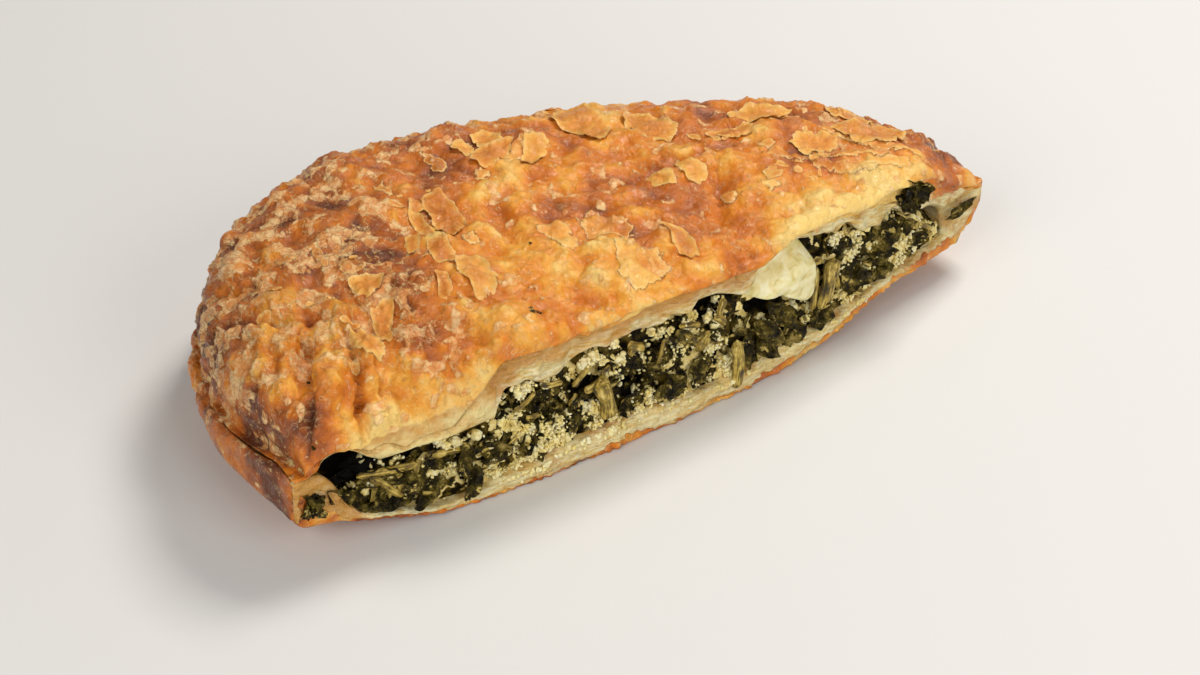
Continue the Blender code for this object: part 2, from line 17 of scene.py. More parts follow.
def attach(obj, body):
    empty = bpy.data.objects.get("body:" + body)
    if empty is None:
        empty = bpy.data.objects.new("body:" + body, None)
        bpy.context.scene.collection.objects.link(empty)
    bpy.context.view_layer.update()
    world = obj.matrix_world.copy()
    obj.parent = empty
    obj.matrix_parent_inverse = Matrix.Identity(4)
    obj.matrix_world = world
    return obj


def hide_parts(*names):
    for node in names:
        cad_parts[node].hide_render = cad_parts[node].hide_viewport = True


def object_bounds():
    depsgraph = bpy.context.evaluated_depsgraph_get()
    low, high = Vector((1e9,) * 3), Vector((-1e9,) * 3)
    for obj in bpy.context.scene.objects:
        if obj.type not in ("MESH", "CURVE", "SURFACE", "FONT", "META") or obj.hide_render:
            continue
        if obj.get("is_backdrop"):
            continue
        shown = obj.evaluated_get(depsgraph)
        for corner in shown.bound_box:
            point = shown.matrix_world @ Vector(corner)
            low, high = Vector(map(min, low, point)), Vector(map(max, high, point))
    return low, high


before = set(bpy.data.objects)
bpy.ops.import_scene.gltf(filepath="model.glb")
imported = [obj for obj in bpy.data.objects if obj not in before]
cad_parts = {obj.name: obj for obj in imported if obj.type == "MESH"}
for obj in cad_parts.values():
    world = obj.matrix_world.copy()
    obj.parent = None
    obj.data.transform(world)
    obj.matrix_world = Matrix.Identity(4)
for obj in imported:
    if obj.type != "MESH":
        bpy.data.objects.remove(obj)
cad_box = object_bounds()


# The top crust
# One sheet of egg-washed puff pastry that rose over the filling in the oven. Its skin is glazed and
# flaking, it is tucked in against the rim, and the knife left its pale layers bare along the cut.

MM = 0.001
CENTRE = Vector((-2.5, 46.7, 0.0))
HALF_CUT_LEFT = 117.0
HALF_CUT_RIGHT = 113.0
CUT_BULGE = 12.0
END_FADE = 8.0
LEDGE_WIDTH = 4.0
SHOULDER_POWER = 2.3
SHOULDER_BULGE = 2.6
BROW_POWER = 2.2
BROW_ROUND = 4.0
BROW_DROP = 3.0
CRUST_THICKNESS = 9.0
CEILING_RISE = 24.0
BLISTER_SPACING = 13.0
BLISTER_HEIGHT = 2.2
SEAM_DROP = 2.0
TUCK_INSET = 3.0
TUCK_DROP = 1.8
LIP_ROUND = 1.6
LIP_ROUND_SHARE = 0.16

# How far the fields of flakes and old skin run past their torn edges, and how wide a torn edge's plate is
FIELD_LIMIT = 2.5
PLATE_WIDTH = 4.0

# The rim's distance from the middle of the cut, every 20 degrees from the right tip to the left corner
RIM_RADII = [113.0, 113.5, 108.0, 103.0, 103.0, 109.5, 119.5, 125.5, 123.3, 117.0]

# Heights along the cut: the crown, the brow over the cut, the crust's lower lip and the edge of its skin
CROWN_HEIGHT = [(-116, 43), (-60, 46.5), (0, 45), (40, 43.5), (80, 42), (113, 36)]
BROW_HEIGHT = [(-116, 27), (-108, 32), (-98, 32), (-88, 30), (-76, 30), (-68, 36), (-60, 43), (-20, 43),
               (16, 41), (34, 43.5), (58, 42.5), (82, 42), (94, 35), (105, 29), (113, 25)]
LIP_HEIGHT = [(-117, 23.5), (-112, 25.5), (-108, 28), (-102, 28), (-97, 25), (-94, 23.3), (-86, 23.3),
              (-81, 22.8), (-73, 20), (-68, 19), (-64, 21), (-62, 26), (-58, 29.5), (-53, 30), (-48, 28),
              (-44, 28), (-39, 30), (-33, 31.5), (-20, 31.5), (-12, 30.5), (-9, 32), (-4, 30.5), (1, 32.5),
              (7, 32), (14, 30), (24, 36), (33, 38), (45, 35.5), (51, 34), (54, 35), (58, 31.5), (65, 31),
              (71, 33), (75, 30), (79, 28), (85, 27), (95, 22.3), (103, 18.5), (109, 18.8), (113, 19.5)]
SKIN_EDGE = [(-117, 22), (-112, 24.5), (-107, 30), (-99, 29), (-94, 29.5), (-88, 30), (-80, 30.5), (-72, 31),
             (-66, 33), (-60, 38.5), (-50, 39.5), (-43, 38.5), (-36, 37), (-25, 36.5), (-19, 37.5),
             (-6, 39), (0, 39), (7, 38), (13, 36.5), (20, 37), (35, 39), (43, 39), (58, 36.5), (74, 34.5),
             (82, 31), (92, 28), (103, 24.5), (113, 22)]
SKIN_SOFTNESS = [(-117, 1.2), (-96, 1.5), (-88, 5.0), (-66, 5.0), (-58, 1.2), (8, 1.0), (22, 3.0), (80, 3.0),
                 (90, 1.0), (113, 0.8)]

# The top of the rim and the reach of the crust's shoulder, as degrees round the rim and millimetres
RIM_TOP = [(0, 24), (20, 21), (40, 17), (90, 15), (140, 17), (160, 19.5), (180, 25)]
SHOULDER = [(0, 32), (20, 41), (45, 47), (70, 46), (95, 41), (115, 32), (135, 23), (160, 17), (180, 14)]
BROW_REACH = [(-116, 16), (-78, 18), (-62, 34), (80, 34), (113, 20)]
FLOOR_RISE = [(-116, 9), (-104, 7.5), (-88, 3), (-74, 0.4), (-60, 0), (25, 0), (42, 1.5), (60, 5),
              (76, 8), (96, 8), (104, 9.5), (108, 12), (113, 15.5)]

# Swellings and hollows of the crust: x, y, reach along, reach across, turn in degrees, height
PUFFS = [
    (-110, 20, 16, 5, 75, 2.5), (-101, 7, 10, 4.5, 65, 2.5), (-90, 6, 9, 5, 65, 1.5),
    (-60, 25, 22, 16, 0, 1.5), (-25, 20, 18, 12, 0, 1.5), (-16, 3, 11, 7, -20, 2.0),
    (12, 36, 10, 9, 0, -2.5), (45, 20, 20, 12, -35, 2.5), (70, 30, 12, 9, 0, 1.0),
    (-52, 88, 12, 6, 18, 3.0), (-8, 80, 16, 8, -10, 1.5), (-86, 52, 14, 9, 50, 1.0),
]

# Folds pressed into the crust: half width and depth, then the points they run through
FOLDS = [
    (2.2, 3.0, [(-99, 21), (-105, 11), (-111, 2)]),
    (2.2, 2.2, [(-91, 12), (-97, -4)]),
    (3.0, 2.2, [(-78, 30), (-81, 17), (-84, 6), (-88, -4)]),
    (1.8, 1.8, [(-107, 49), (-98, 35), (-88, 26)]),
    (1.6, 1.5, [(-104, 63), (-100, 59), (-95, 52)]),
    (1.6, 1.5, [(4, 33), (19, 35), (34, 33)]),
    (2.0, 1.2, [(-66, 19), (-50, 7), (-36, 2), (-28, -6)]),
    (3.0, 1.8, [(34, 25), (27, 16), (20, 7)]),
    (2.0, 1.2, [(-20, 33), (-7, 24), (3, 15)]),
]

# Finer creases of the skin alone, in the same form
CREASES = [
    (0.9, 1.5, [(-97, 24), (-100, 17), (-105, 9), (-109, 3), (-112, 0)]),
    (0.8, 1.5, [(-89, 17), (-92, 9), (-95, 2), (-99, -5)]),
    (0.7, 1.1, [(-84, 24), (-87, 12), (-89, 2), (-91, -4)]),
    (0.7, 1.0, [(-76, 24), (-79, 14), (-80, 4), (-82, -3)]),
    (0.6, 0.9, [(-70, 20), (-72, 12), (-73, 4)]),
    (0.6, 1.0, [(-107, 49), (-98, 35), (-88, 26)]),
    (0.6, 1.0, [(-104, 63), (-100, 59), (-95, 52)]),
    (0.5, 0.6, [(-20, 33), (-7, 24), (3, 15)]),
    (0.5, 0.6, [(4, 33), (12, 35), (19, 35), (34, 33)]),
    (0.6, 0.6, [(-66, 19), (-58, 12), (-50, 7), (-36, 2), (-28, -6)]),
    (0.5, 0.5, [(-48, 38), (-40, 28), (-34, 22), (-28, 10)]),
    (0.5, 0.5, [(-42, 30), (-36, 17), (-33, 4)]),
    (0.6, 0.6, [(34, 25), (27, 16), (20, 7)]),
    (0.5, 0.5, [(56, 20), (46, 8), (42, -2)]),
    (0.5, 0.4, [(-8, 44), (4, 33), (10, 22)]),
]

# Thin torn plates of the top skin that lie flat on the crust, as outlines in plan
LAID_PLATES = {
    "film": [(-3.5, 66), (0, 66), (-1, 62), (-6, 58.5), (-13, 59), (-8, 62)],
    "leaf": [(-27, 76.5), (-24.5, 75), (-23.5, 70), (-25, 66), (-28, 66), (-28.5, 71)],
    "chip": [(-19.5, 60), (-18.5, 57), (-21.5, 53.5), (-23.5, 56)],
    "wedge": [(-48, 67.5), (-44, 69.5), (-44, 66), (-46, 60.5), (-48.5, 64)],
    "dab": [(-43, 34.5), (-40.5, 33), (-40.5, 30), (-43.5, 28.5), (-44.5, 31)],
    "orange": [(-12, 26.5), (-7, 27), (-4, 20), (-3.5, 15), (-5, 12.5), (-9, 11), (-12, 16), (-16, 17)],
    "folded": [(-25, 25.5), (-20, 26), (-18.5, 21), (-20, 15), (-24, 12.5), (-25.5, 17)],
    "bubble cap": [(-14, 9), (-8, 9.5), (-4.5, 5), (-4, 0), (-6, -4), (-12, -7), (-19, -7), (-20, -2),
                   (-17, 3)],
    "square": [(-85.5, 54.5), (-82.5, 55.5), (-80.5, 52), (-84, 50.5), (-86.5, 51.5)],
    "bar": [(-77, 54.5), (-74.5, 53.5), (-75.5, 48), (-77, 42.5), (-79, 44), (-78, 49)],
    "round": [(-74, 44), (-70, 43), (-69.5, 39), (-72, 36.5), (-76, 37), (-76, 41)],
    "crumb": [(42, 15), (45, 15.5), (46, 12.5), (44, 11), (41.5, 12.5)],
    "crumb below": [(39, 12.5), (42.5, 11.5), (42, 9), (39, 8.5)],
    "crumb beside": [(50.5, 27.5), (54, 27), (53.5, 23.5), (51, 22.5), (49.5, 25)],
    "sliver": [(57, 14), (60.5, 13), (61, 9.5), (58, 8.5), (56, 11)],
    "petal": [(27, 15.5), (30.5, 13), (29.5, 10.5), (26.5, 10.5)],
}

# Where plates of skin overlap the next layer down: each path has its torn edge on its right-hand side
SHEET_EDGES = [
    [(51, 18), (57, 11.5), (60, 6), (64, 2.5), (68, 0), (72, 1.2), (78, -1)],
    [(62, 15), (66, 9.5), (70, 8.5), (76, 4.5)],
    [(73, 24), (75, 15), (79, 8), (86, 1)],
]

# Browner and paler places of the glaze: x, y, reach, and how much browner
BROWNING = [
    (-88, 50, 26, 0.12), (-70, 44, 16, 0.07), (-60, 62, 20, 0.09), (-74, 8, 9, 0.20), (-66, 22, 10, 0.10),
    (-108, 2, 6, 0.36), (-114, 12, 5, 0.04), (-112, 26, 12, -0.14), (12, 36, 10, 0.26), (26, 28, 8, 0.14),
    (62, 15, 7, 0.30), (60, 26, 6, 0.20), (-20, 82, 12, 0.24), (2, 72, 10, 0.20), (13, 57, 5, 0.26),
    (-40, 47, 7, 0.14), (-28, 62, 12, 0.10), (48, 12, 9, 0.08), (106, 8, 9, 0.34), (100, 22, 12, 0.20),
    (80, 36, 10, 0.14), (70, 44, 12, 0.10), (28, -2, 16, -0.16), (48, -4, 12, -0.22), (70, -2, 10, -0.26),
    (-40, 6, 12, -0.10), (-16, 2, 12, -0.18), (-38, 22, 12, -0.08), (2, 22, 10, -0.04), (-52, 90, 14, 0.10),
    (40, 60, 10, 0.08), (-98, 14, 12, -0.26), (18, 50, 8, -0.06), (-104, 34, 12, -0.08), (-44, -2, 16, -0.08),
]

TOP_COLUMNS = 372
DOME_SAMPLES = 420
DOME_ROWS = 186
TUCK_ROWS = 5
CEILING_ROWS = 14
BAND_ROWS = 26


def smooth_through(stations, where):
    """A smooth curve through (place, value) pairs that never passes them, read at an array of places."""
    places, values = np.array(stations, float).T
    steps = np.diff(values) / np.diff(places)
    slopes = np.zeros_like(values)
    rising = steps[:-1] * steps[1:] > 0
    slopes[1:-1][rising] = 2 / (1 / steps[:-1][rising] + 1 / steps[1:][rising])
    where = np.clip(where, places[0], places[-1])
    left = np.clip(np.searchsorted(places, where) - 1, 0, len(places) - 2)
    span = places[left + 1] - places[left]
    t = (where - places[left]) / span
    return ((2 * t**3 - 3 * t**2 + 1) * values[left] + (t**3 - 2 * t**2 + t) * span * slopes[left]
            + (3 * t**2 - 2 * t**3) * values[left + 1] + (t**3 - t**2) * span * slopes[left + 1])


def ease(low, high, value):
    """A smooth step from 0 at one value to 1 at another."""
    t = np.clip((value - low) / (high - low), 0.0, 1.0)
    return t * t * (3 - 2 * t)


def rounding(t):
    """How far a rounded edge falls away: nothing at 0, and its whole radius at 1."""
    return 1 - np.sqrt(1 - np.clip(t, 0, 1) ** 2)


def mound(x, y, px, py, along, across):
    """A smooth mound, 1 at its middle, that fades over its reach in each direction."""
    return np.exp(-(((x - px) / along) ** 2) - ((y - py) / across) ** 2)


def lumps(x, y, z, size, seed=0.0):
    """Smooth noise, from about -0.6 to 0.6, whose lumps are about one size apart."""
    places = np.stack([np.ravel(x), np.ravel(y), np.ravel(z)], 1) / size + seed
    return np.array([noise.noise(p) for p in places.tolist()]).reshape(np.shape(x))


def lumps_of(x, y, z, *kinds):
    """Lumps of several kinds together: the size, the seed and the height of each."""
    return sum(lumps(x, y, z, size, seed) * height for size, seed, height in kinds)


def rim_point(share):
    """Where the rim is in plan, from the left corner at share 0 to the right tip at share 1."""
    angle = 180 * (1 - share)
    step = 180 / (len(RIM_RADII) - 1)
    radius = smooth_through([(i * step, r) for i, r in enumerate(RIM_RADII)], angle)
    return radius * np.cos(np.radians(angle)), radius * np.sin(np.radians(angle))


def cut_line(x):
    """The cut's y at a given x: a hand-cut line that bulges forward in its middle."""
    reach = np.where(x < 0, HALF_CUT_LEFT, HALF_CUT_RIGHT)
    return -CUT_BULGE * (1 - np.clip(x / reach, -1, 1) ** 2)


def plan_point(share, back):
    """A plan position, from the cut at back 0 to the rim at back 1."""
    x_front = -HALF_CUT_LEFT + share * (HALF_CUT_LEFT + HALF_CUT_RIGHT)
    y_front = cut_line(x_front)
    x_rim, y_rim = rim_point(share)
    return x_front + (x_rim - x_front) * back, y_front + (y_rim - y_front) * back


def strip_at(share):
    """The ends of a strip from the cut to the rim, its length, and the share of it that the ledge takes."""
    (x_cut, y_cut), (x_rim, y_rim) = plan_point(share, 0.0), plan_point(share, 1.0)
    width = math.hypot(x_rim - x_cut, y_rim - y_cut)
    return x_cut, y_cut, x_rim, y_rim, width, min(LEDGE_WIDTH / width, 0.25)


def rim_distance(x, y):
    """How far a plan position is inside the rim, and the rim's outward direction there."""
    rim_x, rim_y = rim_point(np.linspace(0, 1, 361))
    distance = np.hypot(x[..., None] - rim_x, y[..., None] - rim_y)
    nearest = distance.argmin(-1)
    tangent_x, tangent_y = np.gradient(rim_x), np.gradient(rim_y)
    length = np.hypot(tangent_x, tangent_y)
    return distance.min(-1), (-tangent_y / length)[nearest], (tangent_x / length)[nearest]


def around(x, y):
    """How far round the rim a plan position is, in degrees from the right tip."""
    return np.degrees(np.arctan2(np.maximum(y, 0.0), x))


def clear_of_ends(x, start, fade):
    """1 along the cut, fading to 0 near both of its ends."""
    return ease(start, fade, HALF_CUT_LEFT + x) * ease(start, fade, HALF_CUT_RIGHT - x)


def from_path(x, y, path):
    """How far plan positions are from a path of straight stretches, and their side: 1 for left, -1 for right."""
    nearest, side = np.full(np.shape(x), np.inf), np.full(np.shape(x), -1.0)
    for (ax, ay), (bx, by) in zip(path, path[1:]):
        run_x, run_y = bx - ax, by - ay
        along = np.clip(((x - ax) * run_x + (y - ay) * run_y) / (run_x**2 + run_y**2), 0, 1)
        gap = np.hypot(x - ax - along * run_x, y - ay - along * run_y)
        side = np.where(gap < nearest, np.sign(run_x * (y - ay) - run_y * (x - ax)), side)
        nearest = np.minimum(nearest, gap)
    return nearest, side


def pressed(x, y, folds):
    """How deep the folds press the surface in at plan positions."""
    depth = np.zeros(np.shape(x))
    for half_width, deepest, path in folds:
        depth += deepest * np.exp(-((from_path(x, y, path)[0] / half_width) ** 2))
    return depth


def swellings(x, y):
    """The puffed crust's lumps, hollows and folds."""
    height = -pressed(x, y, FOLDS)
    for px, py, along, across, turn, lift in PUFFS:
        c, s = math.cos(math.radians(turn)), math.sin(math.radians(turn))
        dx, dy = x - px, y - py
        height = height + lift * mound(dx * c + dy * s, dy * c - dx * s, 0, 0, along, across)
    return height


def crown(x, y, distance):
    """The height of the top crust, from the brow at the cut, over the crown and down its shoulder."""
    from_cut = y - cut_line(x)
    brow = smooth_through(BROW_HEIGHT, x)
    rolled = 1 - np.clip(from_cut / smooth_through(BROW_REACH, x), 0, 1)
    full = brow + (smooth_through(CROWN_HEIGHT, x) - brow) * (1 - rolled**BROW_POWER)
    angle = around(x, y)
    foot = smooth_through(RIM_TOP, angle)
    t = np.clip((distance - LEDGE_WIDTH) / smooth_through(SHOULDER, angle), 0, 1)
    shoulder = (1 - (1 - t) ** SHOULDER_POWER) ** (1 / SHOULDER_POWER)
    rises = (swellings(x, y) + lumps(x, y, 0 * x, BLISTER_SPACING) * BLISTER_HEIGHT) * ease(0.05, 0.8, t)
    drop = BROW_DROP * rounding((BROW_ROUND - from_cut) / BROW_ROUND)
    return foot + (full - foot + rises - drop) * shoulder, t


def setback(x, z):
    """How far behind the cut line the cut face lies: the higher up the crust, the further back."""
    height = z - smooth_through(FLOOR_RISE, x)
    return ease(4, 9, height) + 2 * ease(24, 34, height) + lumps(x, z, 0 * x, 11.0) * 1.2


def set_back(loop, x_cut, y_cut, rounded, movable, sheet):
    """Moves the cut side of a loop to the cut face, and draws the sheets that end there back with it."""
    deep = loop[:, 1] - y_cut
    away = setback(loop[:, 0], loop[:, 2]) + rounded
    away = np.maximum(away * clear_of_ends(x_cut, 0, END_FADE), 0.0)
    follows = np.clip(1 - deep / (3 * away + 0.01), 0, 1) * sheet
    loop[:, 1] += away * np.maximum((deep < 1e-6) & movable, follows)
    return loop


def evenly(points, count, weight=None):
    """The same line of points, read again at count places spaced evenly, or by a weight, along it."""
    steps = np.linalg.norm(np.diff(points, axis=0), axis=1)
    if weight is not None:
        steps = steps * weight[1:]
    travelled = np.concatenate([[0], np.cumsum(steps)])
    wanted = np.linspace(0, travelled[-1], count)
    return np.stack([np.interp(wanted, travelled, column) for column in points.T], 1)


def closed(shell, apart=1e-7):
    """Merges a rolled shell's seam, caps what is open and turns its faces outwards."""
    bmesh.ops.remove_doubles(shell, verts=shell.verts, dist=apart)
    bmesh.ops.holes_fill(shell, edges=[e for e in shell.edges if len(e.link_faces) == 1], sides=0)
    bmesh.ops.triangulate(shell, faces=[f for f in shell.faces if len(f.verts) > 4])
    bmesh.ops.recalc_face_normals(shell, faces=shell.faces)


def loft(name, sections, fields):
    """A closed body through a row of equal loops: a grid rolled up, with both ends capped.

    Each field holds one value for each point and is kept on the mesh as an attribute.
    """
    columns, rows = sections.shape[:2]
    shell = bmesh.new()
    bmesh.ops.create_grid(shell, x_segments=columns - 1, y_segments=rows, size=1.0)
    layers = {key: shell.verts.layers.float.new(key) for key in fields}
    for i, vert in enumerate(shell.verts):
        column, row = i % columns, (i // columns) % rows
        vert.co = (Vector(sections[column, row]) - CENTRE) * MM
        for key, layer in layers.items():
            vert[layer] = fields[key][column, row]
    closed(shell)
    return finished(name, shell)


def crust_from(name, one_loop, columns):
    """A sheet of the crust, lofted through its loops from the left corner to the right tip."""
    loops = [one_loop(share) for share in np.linspace(0.004, 0.996, columns)]
    sections, kinds, rises = (np.array(part) for part in zip(*loops))
    return loft(name, sections, {"kind": kinds, "rise": rises})


def finished(name, shell):
    """An object in the scene made of a bmesh, shaded smooth."""
    mesh = bpy.data.meshes.new(name)
    shell.to_mesh(mesh)
    shell.free()
    mesh.shade_smooth()
    body = bpy.data.objects.new(name, mesh)
    bpy.context.scene.collection.objects.link(body)
    return body


def points_of(mesh, key="co"):
    """The mesh's places, or its normals, as an array; places in millimetres in the cut's frame."""
    values = np.zeros(len(mesh.vertices) * 3, np.float32)
    if key == "normal":
        mesh.vertex_normals.foreach_get("vector", values)
        return values.reshape(-1, 3).astype(float)
    mesh.vertices.foreach_get("co", values)
    return values.reshape(-1, 3).astype(float) / MM + np.array(CENTRE)


def move_points(mesh, points):
    """Puts the mesh's points at places in millimetres in the cut's frame."""
    mesh.vertices.foreach_set("co", ((points - np.array(CENTRE)) * MM).astype(np.float32).ravel())
    mesh.update()


def push_out(mesh, amount):
    """Moves every point of a mesh along its own normal, by millimetres."""
    move_points(mesh, points_of(mesh) + points_of(mesh, "normal") * amount[:, None])


def field_of(mesh, key):
    """The values that a mesh keeps for its points under a key."""
    values = np.zeros(len(mesh.vertices), np.float32)
    mesh.attributes[key].data.foreach_get("value", values)
    return values.astype(float)


def store_fields(mesh, **fields):
    """Keeps values for a mesh's points, as attributes that its material reads."""
    for key, values in fields.items():
        if key not in mesh.attributes:
            mesh.attributes.new(key, "FLOAT", "POINT")
        mesh.attributes[key].data.foreach_set("value", np.full(len(mesh.vertices), values, np.float32))


def browned(x, y, spots):
    """How much browner the glaze is at plan positions: each spot has its place, its reach and its amount."""
    return sum(more * mound(x, y, *place, reach, reach) for *place, reach, more in spots)


def ceiling_height(x, y, distance):
    """The underside of the top crust: its lip at the cut, then a cavity that follows the crown."""
    height, _ = crown(x, y, distance)
    inside = height - swellings(x, y) - CRUST_THICKNESS
    lip = smooth_through(LIP_HEIGHT, x)
    foot = smooth_through(RIM_TOP, around(x, y))
    return np.maximum(lip + (inside - lip) * ease(2, CEILING_RISE, y - cut_line(x)), foot - SEAM_DROP)


def top_crust_loop(share):
    """One loop round the top crust: back over the dome, tucked in at its foot, and home along its underside."""
    x_cut, y_cut, _, _, width, ledge = strip_at(share)
    x, y = plan_point(share, np.linspace(0, 1 - ledge, DOME_SAMPLES))
    distance, out_x, out_y = rim_distance(x, y)
    z, t = crown(x, y, distance)
    bulge = SHOULDER_BULGE * np.sin(math.pi * t**0.6) * (1 - t)
    dome = np.stack([x + out_x * bulge, y + out_y * bulge, z], 1)
    dome = evenly(dome, DOME_ROWS, weight=np.linspace(1.35, 0.75, len(dome)))

    room = min(width / 40, 1.0)
    turn = np.linspace(0, math.pi / 2, TUCK_ROWS + 1)[1:]
    inward = TUCK_INSET * room * (1 - np.cos(turn))
    tuck = np.stack([dome[-1, 0] - out_x[-1] * inward, dome[-1, 1] - out_y[-1] * inward,
                     dome[-1, 2] - TUCK_DROP * room * np.sin(turn)], 1)

    x, y = plan_point(share, np.linspace(1 - min((LEDGE_WIDTH + 6) / width, 0.45), 0, CEILING_ROWS) ** 1.6)
    distance = rim_distance(x, y)[0]
    roof = np.stack([x, y, np.minimum(ceiling_height(x, y, distance), crown(x, y, distance)[0] - 0.8)], 1)

    up = np.linspace(0, 1, BAND_ROWS + 2)[1:-1]
    z = roof[-1, 2] + (dome[0, 2] - roof[-1, 2]) * up
    band = np.stack([x_cut + 0 * z, y_cut + 0 * z, z], 1)
    loop = np.concatenate([dome, tuck, roof, band])
    kind = np.repeat([0, 0.2, 2, 1], [DOME_ROWS, TUCK_ROWS, CEILING_ROWS, BAND_ROWS])
    rise = np.concatenate([np.ones(DOME_ROWS), np.zeros(TUCK_ROWS + CEILING_ROWS), up])
    rounded = LIP_ROUND * rounding(1 - rise / LIP_ROUND_SHARE) * (kind >= 1)
    return set_back(loop, x_cut, y_cut, rounded, kind != 0.2, kind == 2), kind, rise


def outline_field(x, y, outlines, ragged):
    """How far inside the nearest outline each plan position is: negative outside all of them."""
    best = np.full(np.shape(x), -PLATE_WIDTH)
    for outline in outlines:
        corners = np.array(outline)
        low, high = corners.min(0) - 3, corners.max(0) + 3
        near = (x > low[0]) & (x < high[0]) & (y > low[1]) & (y < high[1])
        px, py = x[near], y[near]
        inside = np.zeros(px.shape, bool)
        for (ax, ay), (bx, by) in zip(outline, outline[1:] + outline[:1]):
            crosses = (ay > py) != (by > py)
            inside ^= crosses & (px < (bx - ax) * (py - ay) / (by - ay + 1e-9) + ax)
        edge = from_path(px, py, outline + outline[:1])[0]
        best[near] = np.maximum(best[near], np.where(inside, edge, -edge))
    return best + ragged


top_crust = crust_from("top_crust", top_crust_loop, TOP_COLUMNS)

mesh = top_crust.data
x, y, z = points_of(mesh).T
kind, rise = field_of(mesh, "kind"), field_of(mesh, "rise")
dome = ease(0.6, 0.1, kind)
from_cut = y - cut_line(x)

# Blistered old skin covers the left and back of the crust, and thins out towards its middle
weathered = ease(-30, -75, x + 0.25 * (40 - y)) * ease(2, 22, y + 0.4 * (x + 100))
for place in (0.7 * ease(60, 86, y + 0.15 * x) * ease(30, -10, x), 0.6 * ease(70, 92, x) * ease(6, 16, y),
              0.35 * ease(-96, -106, x) * ease(-2, 8, y)):
    weathered = np.maximum(weathered, place)
grain = lumps_of(x, y, z, (5.6, 3.1, 1.0), (2.6, 8.7, 0.7), (1.2, 5.5, 0.4))
patch = np.clip((grain - 0.50 + 0.52 * weathered) * 4.0, -FIELD_LIMIT, FIELD_LIMIT)
ragged = lumps_of(x, y, z, (2.2, 12.0, 1.3), (0.9, 17.0, 0.7))
plates = outline_field(x, y, LAID_PLATES.values(), ragged)
sheets = np.full(x.shape, -PLATE_WIDTH)
for path in SHEET_EDGES:
    away, side = from_path(x, y, path)
    inside = side * away + ragged
    inside = np.maximum(sheets, np.minimum(inside, PLATE_WIDTH - np.abs(inside)))
    sheets = np.where(away < PLATE_WIDTH + 1, inside, sheets)
flake = np.clip(np.maximum(plates, sheets), -FIELD_LIMIT, FIELD_LIMIT)

# Relief: soft puffs with sharp valleys between, bubbles, fine wrinkles, creases, and the flakes' thickness
rough = 0.40 + 0.60 * np.clip(weathered, 0, 1)
swell = np.abs(lumps(x, y, z, 17.0, 25.0)) * 2.6 - 0.65
puffs = np.abs(lumps(x, y, z, 10.0, 21.0)) * 2.8 + np.abs(lumps(x, y, z, 4.6, 4.0)) * 1.2 * rough
bubbles = ease(0.12, 0.42, lumps(x, y, z, 3.4, 44.0)) * 0.55
bubbles += ease(0.2, 0.45, lumps(x, y, z, 1.7, 47.0)) * 0.28
fine = lumps_of(x, y, z, (1.6, 2.0, 0.42), (2.8, 6.0, 0.48)) * rough
lobes = ease(-70, -88, x) * ease(38, 24, y)
streaks = lumps(x * 0.94 - y * 0.34, (y * 0.94 + x * 0.34) * 0.22, z * 0.4, 2.3, 30.0) * 1.1 * lobes
drawn = np.abs(lumps(x * 0.8 + y * 0.6, (y * 0.8 - x * 0.6) * 0.32, z * 0.4, 3.4, 36.0)) * 1.3
streaks += (drawn - 0.25) * ease(-78, -62, x) * ease(36, 20, x)
step = ease(-0.3, 0.3, plates) * 0.5 + ease(-0.3, 0.3, sheets) * 0.6 + ease(-0.5, 0.5, patch) * 0.3
creased = pressed(x, y, CREASES)
relief = swell + puffs - 0.98 + bubbles + fine + streaks + step - creased
relief *= dome * ease(0.0, 5.0, from_cut + 1.5)

# The cut band: soft thin layers of dough that the knife dragged along, set back under the edge of the skin
band = ease(0.6, 0.9, kind) * ease(1.6, 1.2, kind)
layers = (lumps(x * 0.10, rise * 6.0, z * 0.1, 1.0, 40.0) * 0.9
          + lumps(x * 0.35, rise * 15.0, z * 0.1, 1.0, 50.0) * 0.35)
softness = smooth_through(SKIN_SOFTNESS, x)
above = (z - smooth_through(SKIN_EDGE, x) + lumps(x, z, y, 5.0, 70.0) * 1.6 + ragged * 0.35) / softness
bare = np.where(from_cut < 14, ease(0.5, -0.5, above), 0.0)
plump = ease(-106, -99, x) * ease(-60, -67, x)
drawn_back = (layers * ease(1.0, 0.8, rise) + lumps(x, z, 0 * x, 4.5, 60.0) * 1.2) * (1 - 0.8 * plump)
relief += band * (np.maximum(drawn_back, 0) + np.minimum(drawn_back, 0) * ease(0.0, 0.2, rise))
relief += band * plump * 1.5 * np.sin(math.pi * rise)
relief -= 0.7 * bare * ease(2.0, 1.0, softness) * (band + dome)
push_out(mesh, relief * clear_of_ends(x, 0.3, 6))

# What the material reads: how brown the glaze is, with painted shade in its creases and painted light on its puffs,
# where flakes lie and where the cut shows bare dough
bare = np.maximum(bare, ease(1.2, 1.8, kind))
toast = 0.48 - 0.09 * ease(-40, -80, x) * ease(60, 30, y) + browned(x, y, BROWNING)
toast += lumps_of(x, y, z, (26.0, 80.0, 0.32), (9.0, 90.0, 0.28)) + lumps(x, y, z, 3.6, 95.0) * 0.28 * rough
# Painted shade: the glaze is made darker in the creases. Painted light: it is made paler on top of the puffs and
# swells.
toast += 0.15 * weathered - 0.12 * ease(9, 0, from_cut) + 0.12 * np.minimum(creased, 1.5)
toast -= 0.12 * np.clip(puffs + swell - 1.0, -0.9, 1.1)
toast += 0.30 * np.exp(-((rim_distance(x, y)[0] - LEDGE_WIDTH) / 2.0) ** 2) * ease(3, 9, from_cut)
toast -= 0.30 * ease(9, 0, from_cut) * ease(-106, -100, x) * ease(-58, -66, x)
toast -= 0.34 * ease(15, 1, from_cut + lumps(x, y, z, 6.0, 98.0) * 6) * ease(12, 26, x) * ease(98, 88, x)
toast -= 0.10 * ease(0.1, 0.4, bubbles)
